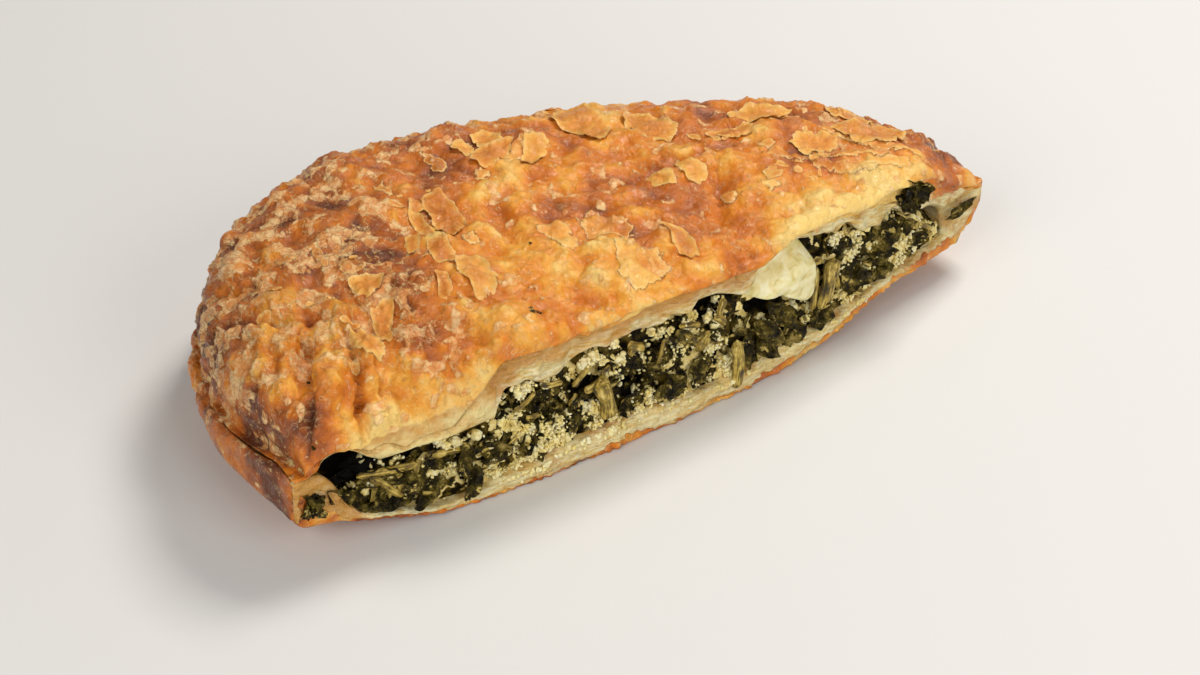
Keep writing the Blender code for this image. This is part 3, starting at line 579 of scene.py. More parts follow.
moist = (0.42 + 0.66 * ease(0.1, 0.8, rise)) * (1 - 0.5 * ease(10, 24, x)) * (1 - 0.35 * plump)
store_fields(mesh, patch=patch, toast=toast, aged=rough, ply=1 - 0.85 * plump, flake=flake, bare=bare,
             wet=moist)


def colour(red, green, blue):
    """A shader colour from the 0 to 255 values that a screen shows it with."""
    shares = (shade / 255 for shade in (red, green, blue))
    return tuple(((s + 0.055) / 1.055) ** 2.4 if s > 0.04 else s / 12.92 for s in shares) + (1.0,)


CREAM = colour(238, 216, 146)
CREAM_WHITE = colour(250, 238, 192)
CREAM_SHADE = colour(220, 178, 98)
CREAM_WET = colour(206, 142, 52)
GLAZE = [(0.0, colour(248, 208, 120)), (0.25, colour(239, 166, 58)), (0.45, colour(223, 130, 29)),
         (0.62, colour(202, 108, 23)), (0.82, colour(161, 82, 27)), (1.0, colour(106, 50, 20))]
BLISTER_PALE = colour(248, 208, 146)
BLISTER_TAN = colour(228, 152, 80)
FLAKE_PALE = colour(250, 198, 108)
FLAKE_TOASTED = colour(228, 142, 48)
FLAKE_EDGE = colour(254, 222, 152)
# A dark scorched brown, also used as painted shadow under the edges of flakes and peeling layers
SCORCH_AND_SHADOW = colour(98, 42, 14)


def join(tree, node, inputs):
    """Joins each of a node's inputs to a socket, or sets it to a plain value."""
    for key, value in dict(inputs).items():
        if isinstance(value, bpy.types.NodeSocket):
            tree.links.new(value, node.inputs[key])
        else:
            node.inputs[key].default_value = value
    return node


def add(tree, kind, inputs=(), **settings):
    """A shader node with its settings, and its inputs set or joined."""
    made = tree.nodes.new(kind)
    for key, value in settings.items():
        setattr(made, key, value)
    return join(tree, made, inputs)


def blank_material(name):
    """A new material with only its output and a Principled shader, and its node tree."""
    material = bpy.data.materials.new(name)
    material.use_nodes = True
    return material, material.node_tree, material.node_tree.nodes["Principled BSDF"]


def soaked(weight, *depths):
    """Inputs for a food that light soaks into: how much, and how many millimetres red, green and blue go."""
    radius = tuple(depth * MM for depth in depths)
    return {"Subsurface Weight": weight, "Subsurface Radius": radius, "Subsurface Scale": 1.0}


def maths(tree, operation, a, b=0.0, c=0.0):
    """One step of arithmetic on values."""
    return add(tree, "ShaderNodeMath", {0: a, 1: b, 2: c}, operation=operation).outputs[0]


def plus(tree, a, b):
    """Two values added."""
    return maths(tree, "ADD", a, b)


def times(tree, product, *others):
    """Values multiplied together."""
    for other in others:
        product = maths(tree, "MULTIPLY", product, other)
    return product


def gained(tree, value, gain, shift):
    """A value times a gain, plus a shift."""
    return maths(tree, "MULTIPLY_ADD", value, gain, shift)


def between(tree, value, low, high, to_low=0.0, to_high=1.0):
    """A smooth step of a value from low to high."""
    return add(tree, "ShaderNodeMapRange", {"Value": value, "From Min": low, "From Max": high,
                                            "To Min": to_low, "To Max": to_high},
               interpolation_type="SMOOTHSTEP").outputs["Result"]


def blend(tree, factor, a, b):
    """A colour mixed with another by a factor."""
    return add(tree, "ShaderNodeMix", {0: factor, 6: a, 7: b}, data_type="RGBA").outputs[2]


def covered(tree, shade, *covers):
    """A colour with others laid over it in turn: each cover has how much it hides, and its own colour."""
    for factor, cover in covers:
        shade = blend(tree, factor, shade, cover)
    return shade


def ramp(tree, value, stops):
    """A colour that runs through its stops, each a place and a shade, as a value rises."""
    made = add(tree, "ShaderNodeValToRGB", {"Fac": value})
    band = made.color_ramp
    band.elements[0].position, band.elements[0].color = stops[0]
    band.elements[1].position, band.elements[1].color = stops[-1]
    for place, shade in stops[1:-1]:
        band.elements.new(place).color = shade
    return made.outputs["Color"]


def stored(tree, key):
    """A value that the mesh keeps for its points."""
    return add(tree, "ShaderNodeAttribute", attribute_name=key).outputs["Fac"]


def millimetres(tree, stretch=(1, 1, 1)):
    """Object coordinates in millimetres, stretched along each axis."""
    where = add(tree, "ShaderNodeTexCoord").outputs["Object"]
    scale = tuple(s / MM for s in stretch)
    return add(tree, "ShaderNodeMapping", {"Vector": where, "Scale": scale}).outputs["Vector"]


def cloud(tree, where, size, detail=3.0, rough=0.55, warp=0.0):
    """Soft noise from 0 to 1, whose clouds are about one size apart."""
    return add(tree, "ShaderNodeTexNoise", {"Vector": where, "Scale": 1 / size, "Detail": detail,
                                            "Roughness": rough, "Distortion": warp}).outputs["Fac"]


def seams(tree, where, scale):
    """How far a place is from the edges of a pattern of cells."""
    return add(tree, "ShaderNodeTexVoronoi", {"Vector": where, "Scale": scale},
               feature="DISTANCE_TO_EDGE").outputs["Distance"]


def bumped(tree, height, distance, strength=1.0, over=None):
    """A bump of a height that runs from 0 to 1 over a distance in millimetres."""
    inputs = {"Height": height, "Distance": distance * MM, "Strength": strength}
    if over is not None:
        inputs["Normal"] = over
    return add(tree, "ShaderNodeBump", inputs).outputs["Normal"]


def baked_dough(name):
    """Baked puff pastry: egg glaze with torn pale flakes on it, and bare laminated dough where it is cut."""
    material, tree, shader = blank_material(name)
    where = millimetres(tree)
    fine, broad = cloud(tree, where, 1.4), cloud(tree, where, 6.0, 4.0)
    shifted = plus(tree, gained(tree, fine, 0.22, -0.11), gained(tree, broad, 0.30, -0.15))
    brown = plus(tree, stored(tree, "toast"), shifted)

    # Old skin, in pale blistered patches that are cracked through
    old = plus(tree, stored(tree, "patch"), gained(tree, cloud(tree, where, 1.0, 5.0, 0.7), 1.8, -0.9))
    on_blister = between(tree, old, -0.25, 0.4)
    mottled = between(tree, cloud(tree, where, 2.6, 4.0), 0.38, 0.62)
    blister_shade = blend(tree, mottled, BLISTER_TAN, BLISTER_PALE)
    whole = between(tree, gained(tree, fine, 0.16, seams(tree, where, 0.42)), 0.08, 0.17, 0.35, 1.0)

    # Flakes, paler along their torn edges, with a painted shadow on the skin just outside them
    torn = plus(tree, stored(tree, "flake"), gained(tree, cloud(tree, where, 0.8, 4.0, 0.65), 1.6, -0.8))
    on_flake = between(tree, torn, -0.06, 0.06)
    worn = between(tree, cloud(tree, where, 3.4, 3.0), 0.34, 0.48, 0.25, 1.0)
    rim = times(tree, on_flake, between(tree, torn, 0.55, 0.12), worn)
    # A painted shadow cast on the skin just outside each flake's edge
    under = times(tree, between(tree, torn, 0.0, -0.08), between(tree, torn, -0.6, -0.1), worn)
    toasted = between(tree, plus(tree, brown, times(tree, broad, 0.3)), 0.40, 0.95)
    flake_shade = blend(tree, toasted, FLAKE_PALE, FLAKE_TOASTED)
    near_edge = between(tree, torn, 2.0, 0.3, 0.30, 0.72)
    specks = between(tree, cloud(tree, where, 1.7, 2.0), 0.67, 0.73)

    # The crackled surface of the glaze, and thin layers that peel off it, with a painted shadow under each peeling
    # edge
    dry = between(tree, cloud(tree, where, 8.0, 3.0), 0.40, 0.60)
    crackle = cloud(tree, where, 0.9, 7.0, 0.72, 0.6)
    aged = times(tree, stored(tree, "aged"), gained(tree, on_flake, -0.6, 1.0))
    pits = times(tree, between(tree, crackle, 0.46, 0.30), gained(tree, dry, 0.38, 0.20))
    flecks = times(tree, between(tree, crackle, 0.55, 0.68), gained(tree, dry, 0.50, 0.22))
    terraces = maths(tree, "FRACT", times(tree, cloud(tree, where, 7.0, 5.0, 0.58, 0.3), 7.0))
    peeling = between(tree, cloud(tree, where, 5.0, 3.0), 0.46, 0.56)
    peeling = times(tree, peeling, gained(tree, aged, 0.7, 0.2))
    curled = times(tree, between(tree, terraces, 0.84, 0.99), peeling)
    # A painted shadow line just under the edge of each peeling layer
    beneath = times(tree, between(tree, terraces, 0.10, 0.0), peeling)
    skin = covered(tree, ramp(tree, brown, GLAZE),
                   (times(tree, on_blister, times(tree, whole, 0.88)), blister_shade),
                   (times(tree, under, 0.5), SCORCH_AND_SHADOW), (times(tree, on_flake, near_edge), flake_shade),
                   (times(tree, rim, 0.7), FLAKE_EDGE), (times(tree, specks, 0.45), FLAKE_EDGE),
                   (times(tree, pits, aged), SCORCH_AND_SHADOW), (times(tree, flecks, aged), FLAKE_EDGE),
                   (times(tree, curled, 0.75), FLAKE_EDGE), (times(tree, beneath, 0.55), SCORCH_AND_SHADOW))

    # Bare dough in thin layers, golden where the butter and the filling soaked it
    layered = cloud(tree, millimetres(tree, (0.16, 0.16, 0.9)), 1.0, 4.0, 0.6, 0.8)
    wet = cloud(tree, millimetres(tree, (0.5, 0.5, 0.8)), 4.0, 4.0)
    golden = plus(tree, stored(tree, "wet"), gained(tree, wet, 1.8, -0.9))
    ply = stored(tree, "ply")
    pale = times(tree, between(tree, layered, 0.60, 0.34), ply)
    shaded = times(tree, between(tree, layered, 0.46, 0.66), gained(tree, ply, 0.6, 0.2))
    dough = covered(tree, CREAM, (pale, CREAM_WHITE), (shaded, CREAM_SHADE),
                    (times(tree, between(tree, golden, 0.30, 0.95), 0.85), CREAM_WET))
    opened = between(tree, stored(tree, "bare"), 0.35, 0.65)

    dull = times(tree, maths(tree, "MAXIMUM", on_flake, on_blister), 0.16)
    dull = plus(tree, plus(tree, 0.30, dull), times(tree, cloud(tree, where, 0.45, 2.0), 0.14))
    relief = bumped(tree, cloud(tree, where, 2.6, 5.0, 0.58, 0.6), 1.1)
    relief = bumped(tree, times(tree, terraces, peeling), 0.40, 1.0, relief)
    relief = bumped(tree, times(tree, crackle, stored(tree, "aged")), 0.5, 1.0, relief)
    relief = bumped(tree, on_flake, 0.30, 0.9, relief)
    relief = bumped(tree, on_blister, 0.25, 0.8, relief)
    relief = bumped(tree, times(tree, layered, times(tree, opened, ply)), 1.0, 0.9, relief)
    greasy = between(tree, cloud(tree, where, 3.2, 3.0), 0.44, 0.60, 0.20, 0.85)
    join(tree, shader, {"Base Color": blend(tree, opened, skin, dough), "Roughness": dull, "Normal": relief,
                        "Specular IOR Level": 0.2, "Coat Normal": relief, "Coat Weight": greasy,
                        "Coat Roughness": 0.16, **soaked(0.06, 1.5, 0.8, 0.3)})
    return material


crust_finish = baked_dough("baked_crust")
top_crust.data.materials.append(crust_finish)
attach(top_crust, "root")
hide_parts("pastry")


# The loose flakes
# Brittle plates of the top skin that lifted and tore in the oven, with curled, paler edges. They rest on
# the crust, each a thin shell of its own, and all are one piece with it.

LOOSE_PLATES = {
    "big": [(-20, 63), (-17, 68), (-12, 69.5), (-8, 68), (-3.5, 66), (-8, 62), (-14, 59), (-19, 58)],
    "next": [(-9, 55.5), (-3, 62), (0, 65.5), (5, 64), (4, 59), (-3, 55), (-7, 53)],
    "knob": [(-19, 74), (-15, 74.5), (-13, 72), (-15, 68.5), (-18, 67), (-19.5, 70)],
    "behind": [(-11, 76), (-6, 77), (-3, 73), (-5, 69), (-10, 68), (-12, 71)],
    "tongue": [(15, 75), (24, 82), (30, 80), (28.5, 72), (27, 64), (24, 58), (20, 54), (16, 53.5), (15, 58),
               (16, 62), (14, 67)],
    "triangle": [(35, 66), (41, 60), (40.5, 49), (36, 45), (31, 44.5), (27.5, 48.5), (28.5, 54), (31, 62)],
    "kite": [(-41, 56.5), (-34, 58), (-34.5, 52), (-36, 43), (-39, 37.5), (-46, 34), (-47, 40), (-43.5, 49)],
    "kite side": [(-43, 58.5), (-40, 57), (-42, 52), (-46, 49.5), (-46.5, 53)],
    "strip": [(-47, 53), (-45.5, 50), (-47, 41), (-48.5, 37), (-50, 43), (-49, 49)],
    "shield": [(-52.5, 36.5), (-48.5, 35.5), (-49, 31), (-50, 26), (-54, 25), (-56.5, 25.5), (-55.5, 30)],
    "golden": [(-87, 19.5), (-84, 19), (-82, 15), (-83.5, 8), (-86.5, 5.5), (-89.5, 7), (-90, 12),
               (-88.5, 17)],
    "curl": [(-51, 26), (-48, 26), (-46, 21), (-46.5, 14), (-50, 10), (-55, 11), (-55, 17), (-53.5, 22)],
    "tile": [(-77, 36), (-72, 34.5), (-69, 30.5), (-71.5, 28), (-76, 26.5), (-78, 29)],
    "plank": [(26, 34), (29.5, 34), (31, 29), (30.5, 24), (26, 22), (23.5, 25), (24.5, 30)],
    "sheet": [(43, 41), (50, 41), (57, 37), (54, 33), (48, 32.5), (44, 36)],
    "high": [(53, 45), (64, 49), (72, 45), (75, 41), (69, 36.5), (62, 34.5), (57, 40)],
    "right": [(59, 24), (64, 26), (71, 24.5), (74.5, 21), (71, 17), (64, 15.5), (58, 17.5)],
    "broad": [(77, 27), (84, 26.5), (94, 22), (97, 17), (90, 11), (82, 9.5), (76, 13), (74.5, 20)],
    "far": [(84, 37), (92, 33), (95, 27), (90, 25), (85, 26), (81, 31)],
    "leaflet": [(14.5, 32), (18, 33), (21, 28.5), (19.5, 24), (16.5, 25), (14.5, 28)],
    "oval": [(-55, 42.5), (-51.5, 43), (-52, 40), (-55, 36), (-58.5, 35.5), (-57, 39.5)],
    "bean": [(-59.5, 22.5), (-57.5, 20), (-59, 15.5), (-62.5, 13), (-63, 16), (-61, 19)],
    "hook": [(-79.5, 22), (-74, 24.5), (-72, 22), (-75, 18), (-79, 13), (-81, 9), (-82, 14)],
    "ragged": [(3, 12), (7, 7), (6, 1), (4, -4), (0.5, -5), (0, 1), (2, 5)],
}

FLAKE_RINGS = 9
FLAKE_SPOKES = 64
FLAKE_SKIN = 0.35
FLAKE_FIELDS = ("toast", "flake", "patch", "aged", "bare", "wet", "ply")
SMALL_FLAKES = 46
FLAKE_CORNERS = 7

# Where small loose flakes gather: x, y, reach
FLAKE_PLACES = [(60, 12, 12), (74, 18, 12), (48, 14, 8), (88, 28, 8), (-8, 66, 10), (66, 40, 10), (-44, 58, 8),
                (-84, 20, 12), (40, 36, 8), (-60, 34, 12), (20, 78, 10), (-92, 40, 14)]

crust_tree = BVHTree.FromPolygons([tuple(p) for p in points_of(top_crust.data)],
                                  [tuple(f.vertices) for f in top_crust.data.polygons])


def on_crust(x_at, y_at):
    """The height of the finished top crust at a plan position."""
    hit = crust_tree.ray_cast(Vector((x_at, y_at, 90)), Vector((0, 0, -1)))[0]
    return hit.z if hit else 20.0


def softened(outline, count, passes):
    """A closed outline, read again at places spaced evenly round it, with its corners rubbed off."""
    edge = evenly(np.array(outline + outline[:1], float), count + 1)[:-1]
    for _ in range(passes):
        edge = (np.roll(edge, 1, 0) + 2 * edge + np.roll(edge, -1, 0)) / 4
    return edge


def to_roll(spokes, rings, fields=()):
    """A grid to be rolled into a closed shell, its points with their spokes and rings, and its fields."""
    shell = bmesh.new()
    bmesh.ops.create_grid(shell, x_segments=spokes, y_segments=rings, size=1.0)
    layers = [shell.verts.layers.float.new(key) for key in fields]
    return shell, [(vert, i % (spokes + 1), i // (spokes + 1)) for i, vert in enumerate(shell.verts)], layers


def gather(gathered, shell):
    """Moves one small shell into the bmesh that holds them all."""
    scratch = bpy.data.meshes.new("scratch")
    shell.to_mesh(scratch)
    shell.free()
    gathered.from_mesh(scratch)
    bpy.data.meshes.remove(scratch)


def loose_flake(gathered, outline, curl, seed):
    """Adds one flake: a thin curled shell over an outline in plan, resting on the crust under it."""
    edge = softened(outline, FLAKE_SPOKES, 2)
    heart = edge.mean(0)
    away = np.linalg.norm(edge - heart, axis=1)
    span = float(away.mean())
    shell, points, (toast, flake, patch, aged, *_) = to_roll(FLAKE_SPOKES, 2 * FLAKE_RINGS, FLAKE_FIELDS)
    brown = noise.noise((seed, 4, 4)) * 0.3
    for vert, spoke, ring in points:
        spoke %= FLAKE_SPOKES
        turn = math.pi * ring / (2 * FLAKE_RINGS)
        reach = math.sin(turn) ** 0.7
        rim_x, rim_y = edge[spoke]
        torn = noise.noise((rim_x / 1.7, rim_y / 1.7, seed)) * 1.1
        torn += noise.noise((rim_x / 0.6, rim_y / 0.6, seed)) * 0.4
        x_at, y_at = heart + (edge[spoke] - heart) * reach * (1 + torn / max(away[spoke], 6.0))
        lift = curl * (0.25 + noise.noise((rim_x / 5, rim_y / 5, seed + 7))) * reach**4
        lift += (noise.noise((x_at / 2.2, y_at / 2.2, seed)) * 0.35 + 0.18) * min(span / 4, 1.0)
        side = 0.5 * FLAKE_SKIN * math.cos(turn) * (0.6 + 0.4 * (1 - reach))
        vert.co = (Vector((x_at, y_at, on_crust(x_at, y_at) + max(lift, -0.1) + side)) - CENTRE) * MM
        inward = (1 - reach) * away[spoke]
        vert[flake] = min(inward + 0.15, FIELD_LIMIT)
        vert[toast] = 0.44 + brown + 0.30 * min(inward / 3, 1) * (0.5 + brown) - 0.12 * reach
        vert[patch] = -FIELD_LIMIT
        vert[aged] = 0.5
    closed(shell)
    gather(gathered, shell)


flakes_shell = bmesh.new()
draw = random.Random(5)
for outline in LOOSE_PLATES.values():
    loose_flake(flakes_shell, outline, draw.uniform(0.6, 1.7), draw.uniform(0, 99))
for _ in range(SMALL_FLAKES):
    x_at, y_at, spread = draw.choice(FLAKE_PLACES)
    x_at, y_at = x_at + draw.gauss(0, 0.5) * spread, y_at + draw.gauss(0, 0.5) * spread
    long, wide, turn = draw.uniform(1.0, 3.0), draw.uniform(0.5, 1.5), draw.uniform(0, math.pi)
    c, s = math.cos(turn), math.sin(turn)
    outline = []
    for k in range(FLAKE_CORNERS):
        a = k / FLAKE_CORNERS * math.tau
        u, v = long * math.cos(a) * draw.uniform(0.7, 1.2), wide * math.sin(a) * draw.uniform(0.7, 1.2)
        outline.append((x_at + u * c - v * s, y_at + u * s + v * c))
    if min(oy - float(cut_line(np.array(ox))) for ox, oy in outline) > 3:
        loose_flake(flakes_shell, outline, draw.uniform(0.3, 1.0), draw.uniform(0, 99))
loose_flakes = finished("loose_flakes", flakes_shell)
loose_flakes.data.materials.append(crust_finish)
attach(loose_flakes, "root")
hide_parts("pastry")


# The bottom crust
# The lower sheet of pastry that carries the filling. Its edge rises round the filling to a flaky rim, it
# is baked brown and crisp underneath, and it curls off the floor at both ends.

UNDERSIDE_ROUND = 5.0
LEDGE_DROP = 3.2
SHELF_DROP = 1.2
ROLL_DROP = 0.4
RIM_INSIDE = 7.0
BASE_LIP_ROUND = 1.2
BASE_LIP_SHARE = 0.25
BED_EDGE = [(-117, 24), (-113.4, 22.5), (-110, 19), (-107.5, 16), (-104.5, 12.6), (-101.5, 10), (-97.8, 8),
            (-92.6, 6.2), (-86, 4.4), (-78, 2.6), (-70, 2.4), (-62, 4), (-50, 5), (-44, 6.2), (-32, 6.9),
            (-20, 7), (-6, 6.2), (7, 5.2), (21, 7.2), (36, 8), (48, 8), (60, 9.4), (68, 11), (79, 11.2),
            (88, 12), (96, 13), (104, 14.5), (109, 17), (113, 19)]

# How high the browned underside shows on the cut, along it
BROWN_EDGE = [(-117, 1.2), (-100, 0.9), (-35, 0.8), (-30, 2.6), (-20, 2.8), (-14, 1.0), (15, 1.2), (28, 2.6),
              (60, 2.2), (96, 3.2), (113, 2.5)]

# Browner places, in the same form as on the top crust
BASE_BROWNING = [
    (-119, 6, 4, 0.30), (-119, 11, 4, 0.34), (-121, 16, 5, 0.14), (-119, 24, 5, 0.14), (-122, 32, 4, 0.10),
    (-122, 50, 10, 0.12), (-100, 80, 20, 0.10), (-114, 16, 4, 0.16), (-60, 100, 30, 0.06), (40, 96, 30, 0.04),
    (104, 30, 20, 0.10),
]

BASE_COLUMNS = 360
BED_ROWS = 14
LEDGE_ROWS = 26
WALL_ROWS = 20
UNDER_ROWS = 16
EDGE_ROWS = 14


def underside(x, distance):
    """The height of the pie's underside, which curls up at both ends and rounds into the rim."""
    rise = UNDERSIDE_ROUND * rounding((UNDERSIDE_ROUND - distance) / UNDERSIDE_ROUND)
    return smooth_through(FLOOR_RISE, x) + rise


def bottom_crust_loop(share):
    """One loop round the bottom crust: back over its bed, over the rim, down the wall and home beneath."""
    x_cut, y_cut, x_rim, y_rim, width, ledge = strip_at(share)
    inside = 1 - min(RIM_INSIDE / width, 0.5)
    foot = float(smooth_through(RIM_TOP, around(x_rim, y_rim)))

    x, y = plan_point(share, np.linspace(0, inside, BED_ROWS) ** 0.8)
    distance = rim_distance(x, y)[0]
    edge = smooth_through(BED_EDGE, x)
    bed_height = edge + (foot - SHELF_DROP - edge) * ease(18, RIM_INSIDE, distance)
    walled = ease(1.5, 3.5, y - cut_line(x)) * ease(96, 98, x)
    bed_height += np.maximum(ceiling_height(x, y, distance) + 0.6 - bed_height, 0) * walled
    bed = np.stack([x, y, bed_height], 1)

    x, y = plan_point(share, np.linspace(inside, 1 - ledge, LEDGE_ROWS // 2)[1:])
    shelf = np.stack([x, y, foot - SHELF_DROP + (SHELF_DROP - ROLL_DROP) * np.linspace(0, 1, len(x))], 1)
    turn = np.linspace(0, math.pi / 2, LEDGE_ROWS // 2 + 2)[1:]
    x, y = plan_point(share, 1 - ledge + ledge * np.sin(turn))
    roll = np.stack([x, y, foot - ROLL_DROP - (LEDGE_DROP - ROLL_DROP) * (1 - np.cos(turn))], 1)

    z = np.linspace(foot - LEDGE_DROP, float(underside(np.array(x_rim), 0.0)), WALL_ROWS + 1)[1:]
    wall = np.stack([x_rim + 0 * z, y_rim + 0 * z, z], 1)

    x, y = plan_point(share, 1 - (np.arange(1, UNDER_ROWS + 1) / UNDER_ROWS) ** 1.4)
    under = np.stack([x, y, underside(x, rim_distance(x, y)[0])], 1)

    up = np.linspace(0, 1, EDGE_ROWS + 2)[1:-1]
    z = under[-1, 2] + (bed[0, 2] - under[-1, 2]) * up
    face = np.stack([x_cut + 0 * z, y_cut + 0 * z, z], 1)

    loop = np.concatenate([bed, shelf, roll, wall, under, face])
    outside = len(shelf) + len(roll) + len(wall)
    kind = np.repeat([2, 0, 0.3, 1], [BED_ROWS, outside, UNDER_ROWS, EDGE_ROWS])
    rise = np.concatenate([np.ones(len(bed)), np.zeros(outside + len(under)), up])
    rounded = BASE_LIP_ROUND * rounding((rise - 1 + BASE_LIP_SHARE) / BASE_LIP_SHARE) * (kind >= 1)
    return set_back(loop, x_cut, y_cut, rounded, True, (kind == 2) | (kind == 0.3)), kind, rise


bottom_crust = crust_from("bottom_crust", bottom_crust_loop, BASE_COLUMNS)

mesh = bottom_crust.data
x, y, z = points_of(mesh).T
kind, rise = field_of(mesh, "kind"), field_of(mesh, "rise")
outer = ease(0.25, 0.1, kind)
face = ease(0.6, 0.9, kind) * ease(1.6, 1.2, kind)
height = z - smooth_through(FLOOR_RISE, x)
foot = smooth_through(RIM_TOP, around(x, y))
high = ease(-3.5, -1.0, z - foot)

# The rim's top is blistered and flaky towards the back, and its wall is smooth, with soft waves
grain = lumps_of(x, y, z, (5.0, 103.1, 1.0), (2.4, 108.7, 0.5), (1.2, 105.5, 0.25))
flaky = 0.2 + 0.5 * high + 0.35 * ease(20, 60, y)
patch = np.clip((grain - 0.62 + 0.5 * flaky) * 4.0, -FIELD_LIMIT, FIELD_LIMIT)
waves = lumps(x, y, z * 0.6, 8.0, 120.0) * 2.4 + np.abs(lumps(x, y, z, 4.2, 125.0)) * 1.4 - 0.3
waves += lumps(x, y, z, 1.5, 130.0) * 0.2
crimps = lumps(x, y, z * 4.0, 4.0, 140.0) * 1.8 * high
relief = (waves + crimps + ease(-0.4, 0.4, patch) * 0.28 * flaky) * outer

# The cut edge: thin layers above, and the chipped brown underside below
layers = (lumps(x * 0.16, rise * 5.0, z * 0.1, 1.0, 150.0) * 0.7
          + lumps(x * 0.5, rise * 12.0, z * 0.1, 1.0, 155.0) * 0.4)
layers = np.maximum(layers, 0) + np.minimum(layers, 0) * ease(1.0, 0.85, rise)
chips = np.abs(lumps(x, z, 0 * x, 2.6, 160.0)) * 1.6
brown_edge = smooth_through(BROWN_EDGE, x)
crisp = ease(1.3, 0.6, height / brown_edge)
relief += face * (layers * (1 - crisp) + (chips - 0.2) * crisp)
beneath = ease(0.25, 0.3, kind) * ease(0.5, 0.3, kind) * ease(14, 6, y)
relief += beneath * (lumps(x, y, z, 6.0, 165.0) * 0.8 - 0.5)
push_out(mesh, relief * clear_of_ends(x, 0.3, 6))
held = points_of(mesh)
held[:, 2] = np.maximum(held[:, 2], 0.0)
move_points(mesh, held)

toast = 0.56 + lumps_of(x, y, z, (22.0, 180.0, 0.3), (7.0, 190.0, 0.36), (3.0, 195.0, 0.2))
toast += browned(x, y, BASE_BROWNING)
toast += 0.30 * np.exp(-((rim_distance(x, y)[0] - LEDGE_WIDTH) / 2.2) ** 2) * high
toast += (0.04 - 0.16 * ease(-60, 10, x)) * crisp * (face + ease(0.2, 0.3, kind))
toast -= (0.14 - 0.7 * lumps(x * 0.3, z, 0 * x, 1.6, 198.0)) * face * ease(-96, -102, x)
by_bed = ease(4.0, 2.4, smooth_through(BED_EDGE, x) - z + lumps(x, z, 0 * x, 3.0, 175.0) * 1.5)
bare = face * ease(0.8, 1.2, height / brown_edge + lumps(x, z, 0 * x, 1.8, 170.0) * 0.6)
bare *= np.maximum(ease(-101, -96, x) + ease(-114.6, -115.6, x + lumps(x, z, y, 3.0, 177.0) * 2),
                   0.3 + 0.7 * by_bed)
moist = 0.32 + 0.5 * ease(0.5, 0.1, rise) + 0.9 * ease(-94, -104, x) * (1 - 0.35 * by_bed)
moist = (moist + 0.25 * ease(60, 90, x)) * face + (0.5 + 0.4 * ease(-98, -106, x)) * (1 - face)
store_fields(mesh, toast=toast, patch=patch * outer - FIELD_LIMIT * (1 - outer), flake=-FIELD_LIMIT,
             bare=np.maximum(bare, ease(1.2, 1.8, kind)), aged=0.5 + 0.3 * high, ply=0.8, wet=moist)

bottom_crust.data.materials.append(crust_finish)
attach(bottom_crust, "root")
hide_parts("pastry")


# The filling's body
# Chopped spinach bound with egg and crumbled white cheese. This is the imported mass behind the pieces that
# show at the cut: dark, wet and green, with pale crumbly seams.

FILLING_TOP = [(-110, 18), (-104, 20), (-98, 20.5), (-90, 20.5), (-80, 21.5), (-73, 20.5), (-66, 20.5),
               (-62, 27), (-58, 30.5), (-44, 29), (-33, 32), (-12, 31.5), (7, 32.5), (14, 31), (24, 37),
               (33, 38.5), (45, 36.5), (58, 32.5), (71, 33), (79, 28), (88, 22), (93, 18.5), (97, 15)]
FILLING_LEFT = -109.0
FILLING_RIGHT = 96.0
FILLING_SETBACK = 3.2
BODY_TOP_SETBACK = 3.5
BODY_INSET = 14.0
BODY_COLUMNS = 420
BODY_ROWS = 10
SEEN_ROWS = 72

# Where pale curds gather in the filling: x, height share from bed to ceiling, reach along, reach up, amount
CURD_PLACES = [
    (-46, 0.22, 14, 0.3, 0.62), (-30, 0.16, 12, 0.2, 0.36), (-58, 0.5, 6, 0.4, 0.35), (-38, 0.9, 12, 0.2, 0.4),
    (-52, 0.92, 8, 0.15, 0.5), (-16, 0.12, 14, 0.15, 0.4), (2, 0.6, 10, 0.4, 0.5), (8, 0.2, 12, 0.15, 0.7),
    (20, 0.7, 8, 0.3, 0.4), (34, 0.3, 14, 0.3, 0.4), (50, 0.4, 12, 0.3, 0.5), (70, 0.4, 20, 0.4, 0.6),
    (-10, 0.5, 7, 0.35, 0.45), (-76, 0.45, 10, 0.3, 0.3), (88, 0.5, 8, 0.4, 0.3), (-88, 0.6, 14, 0.3, 0.1),
    (-6, 0.85, 12, 0.2, 0.1),
]

# Hollows in the face of the filling, painted darker as shade: x, z, reach along, reach up, depth
HOLLOWS = [
    (-99, 21, 8, 4, 5.5), (-103, 16, 3, 4, 4.5), (-85, 20, 5, 3, 3.0), (-58.7, 24.3, 4, 4, 4.5),
    (-50, 23, 5, 3.5, 5.0), (-38, 23, 7, 4, 4.5), (-21, 15.5, 6, 5, 5.5), (-14.5, 25, 7, 4, 5.0),
    (-2, 20, 5, 4, 1.8), (4.7, 29, 7, 3.5, 5.0), (8, 12.7, 3.5, 3.5, 5.0), (25, 23, 8, 3.5, 5.5),
    (36, 35, 5, 4, 5.0), (42.4, 24, 3, 6, 4.0), (60, 22, 2.5, 3, 3.5), (74.5, 29.5, 6, 2.5, 4.5),
    (48, 15, 3, 2, 3.0),
]


def filling_limits(x):
    """The filling's lowest and highest places at the cut."""
    return smooth_through(BED_EDGE, x), smooth_through(FILLING_TOP, x)


def curdiness(x, z):
    """How much pale curd there is at places on the cut, from about 0 to 1."""
    low, high = filling_limits(x)
    share = (z - low) / (high - low)
    return 0.25 + np.max([much * mound(x, share, *place) for *place, much in CURD_PLACES], 0)


def hollow(x, z):
    """How far the face of the filling falls back, in millimetres, at places on the cut."""
    return np.max([deepest * mound(x, z, *place) for *place, deepest in HOLLOWS], 0)


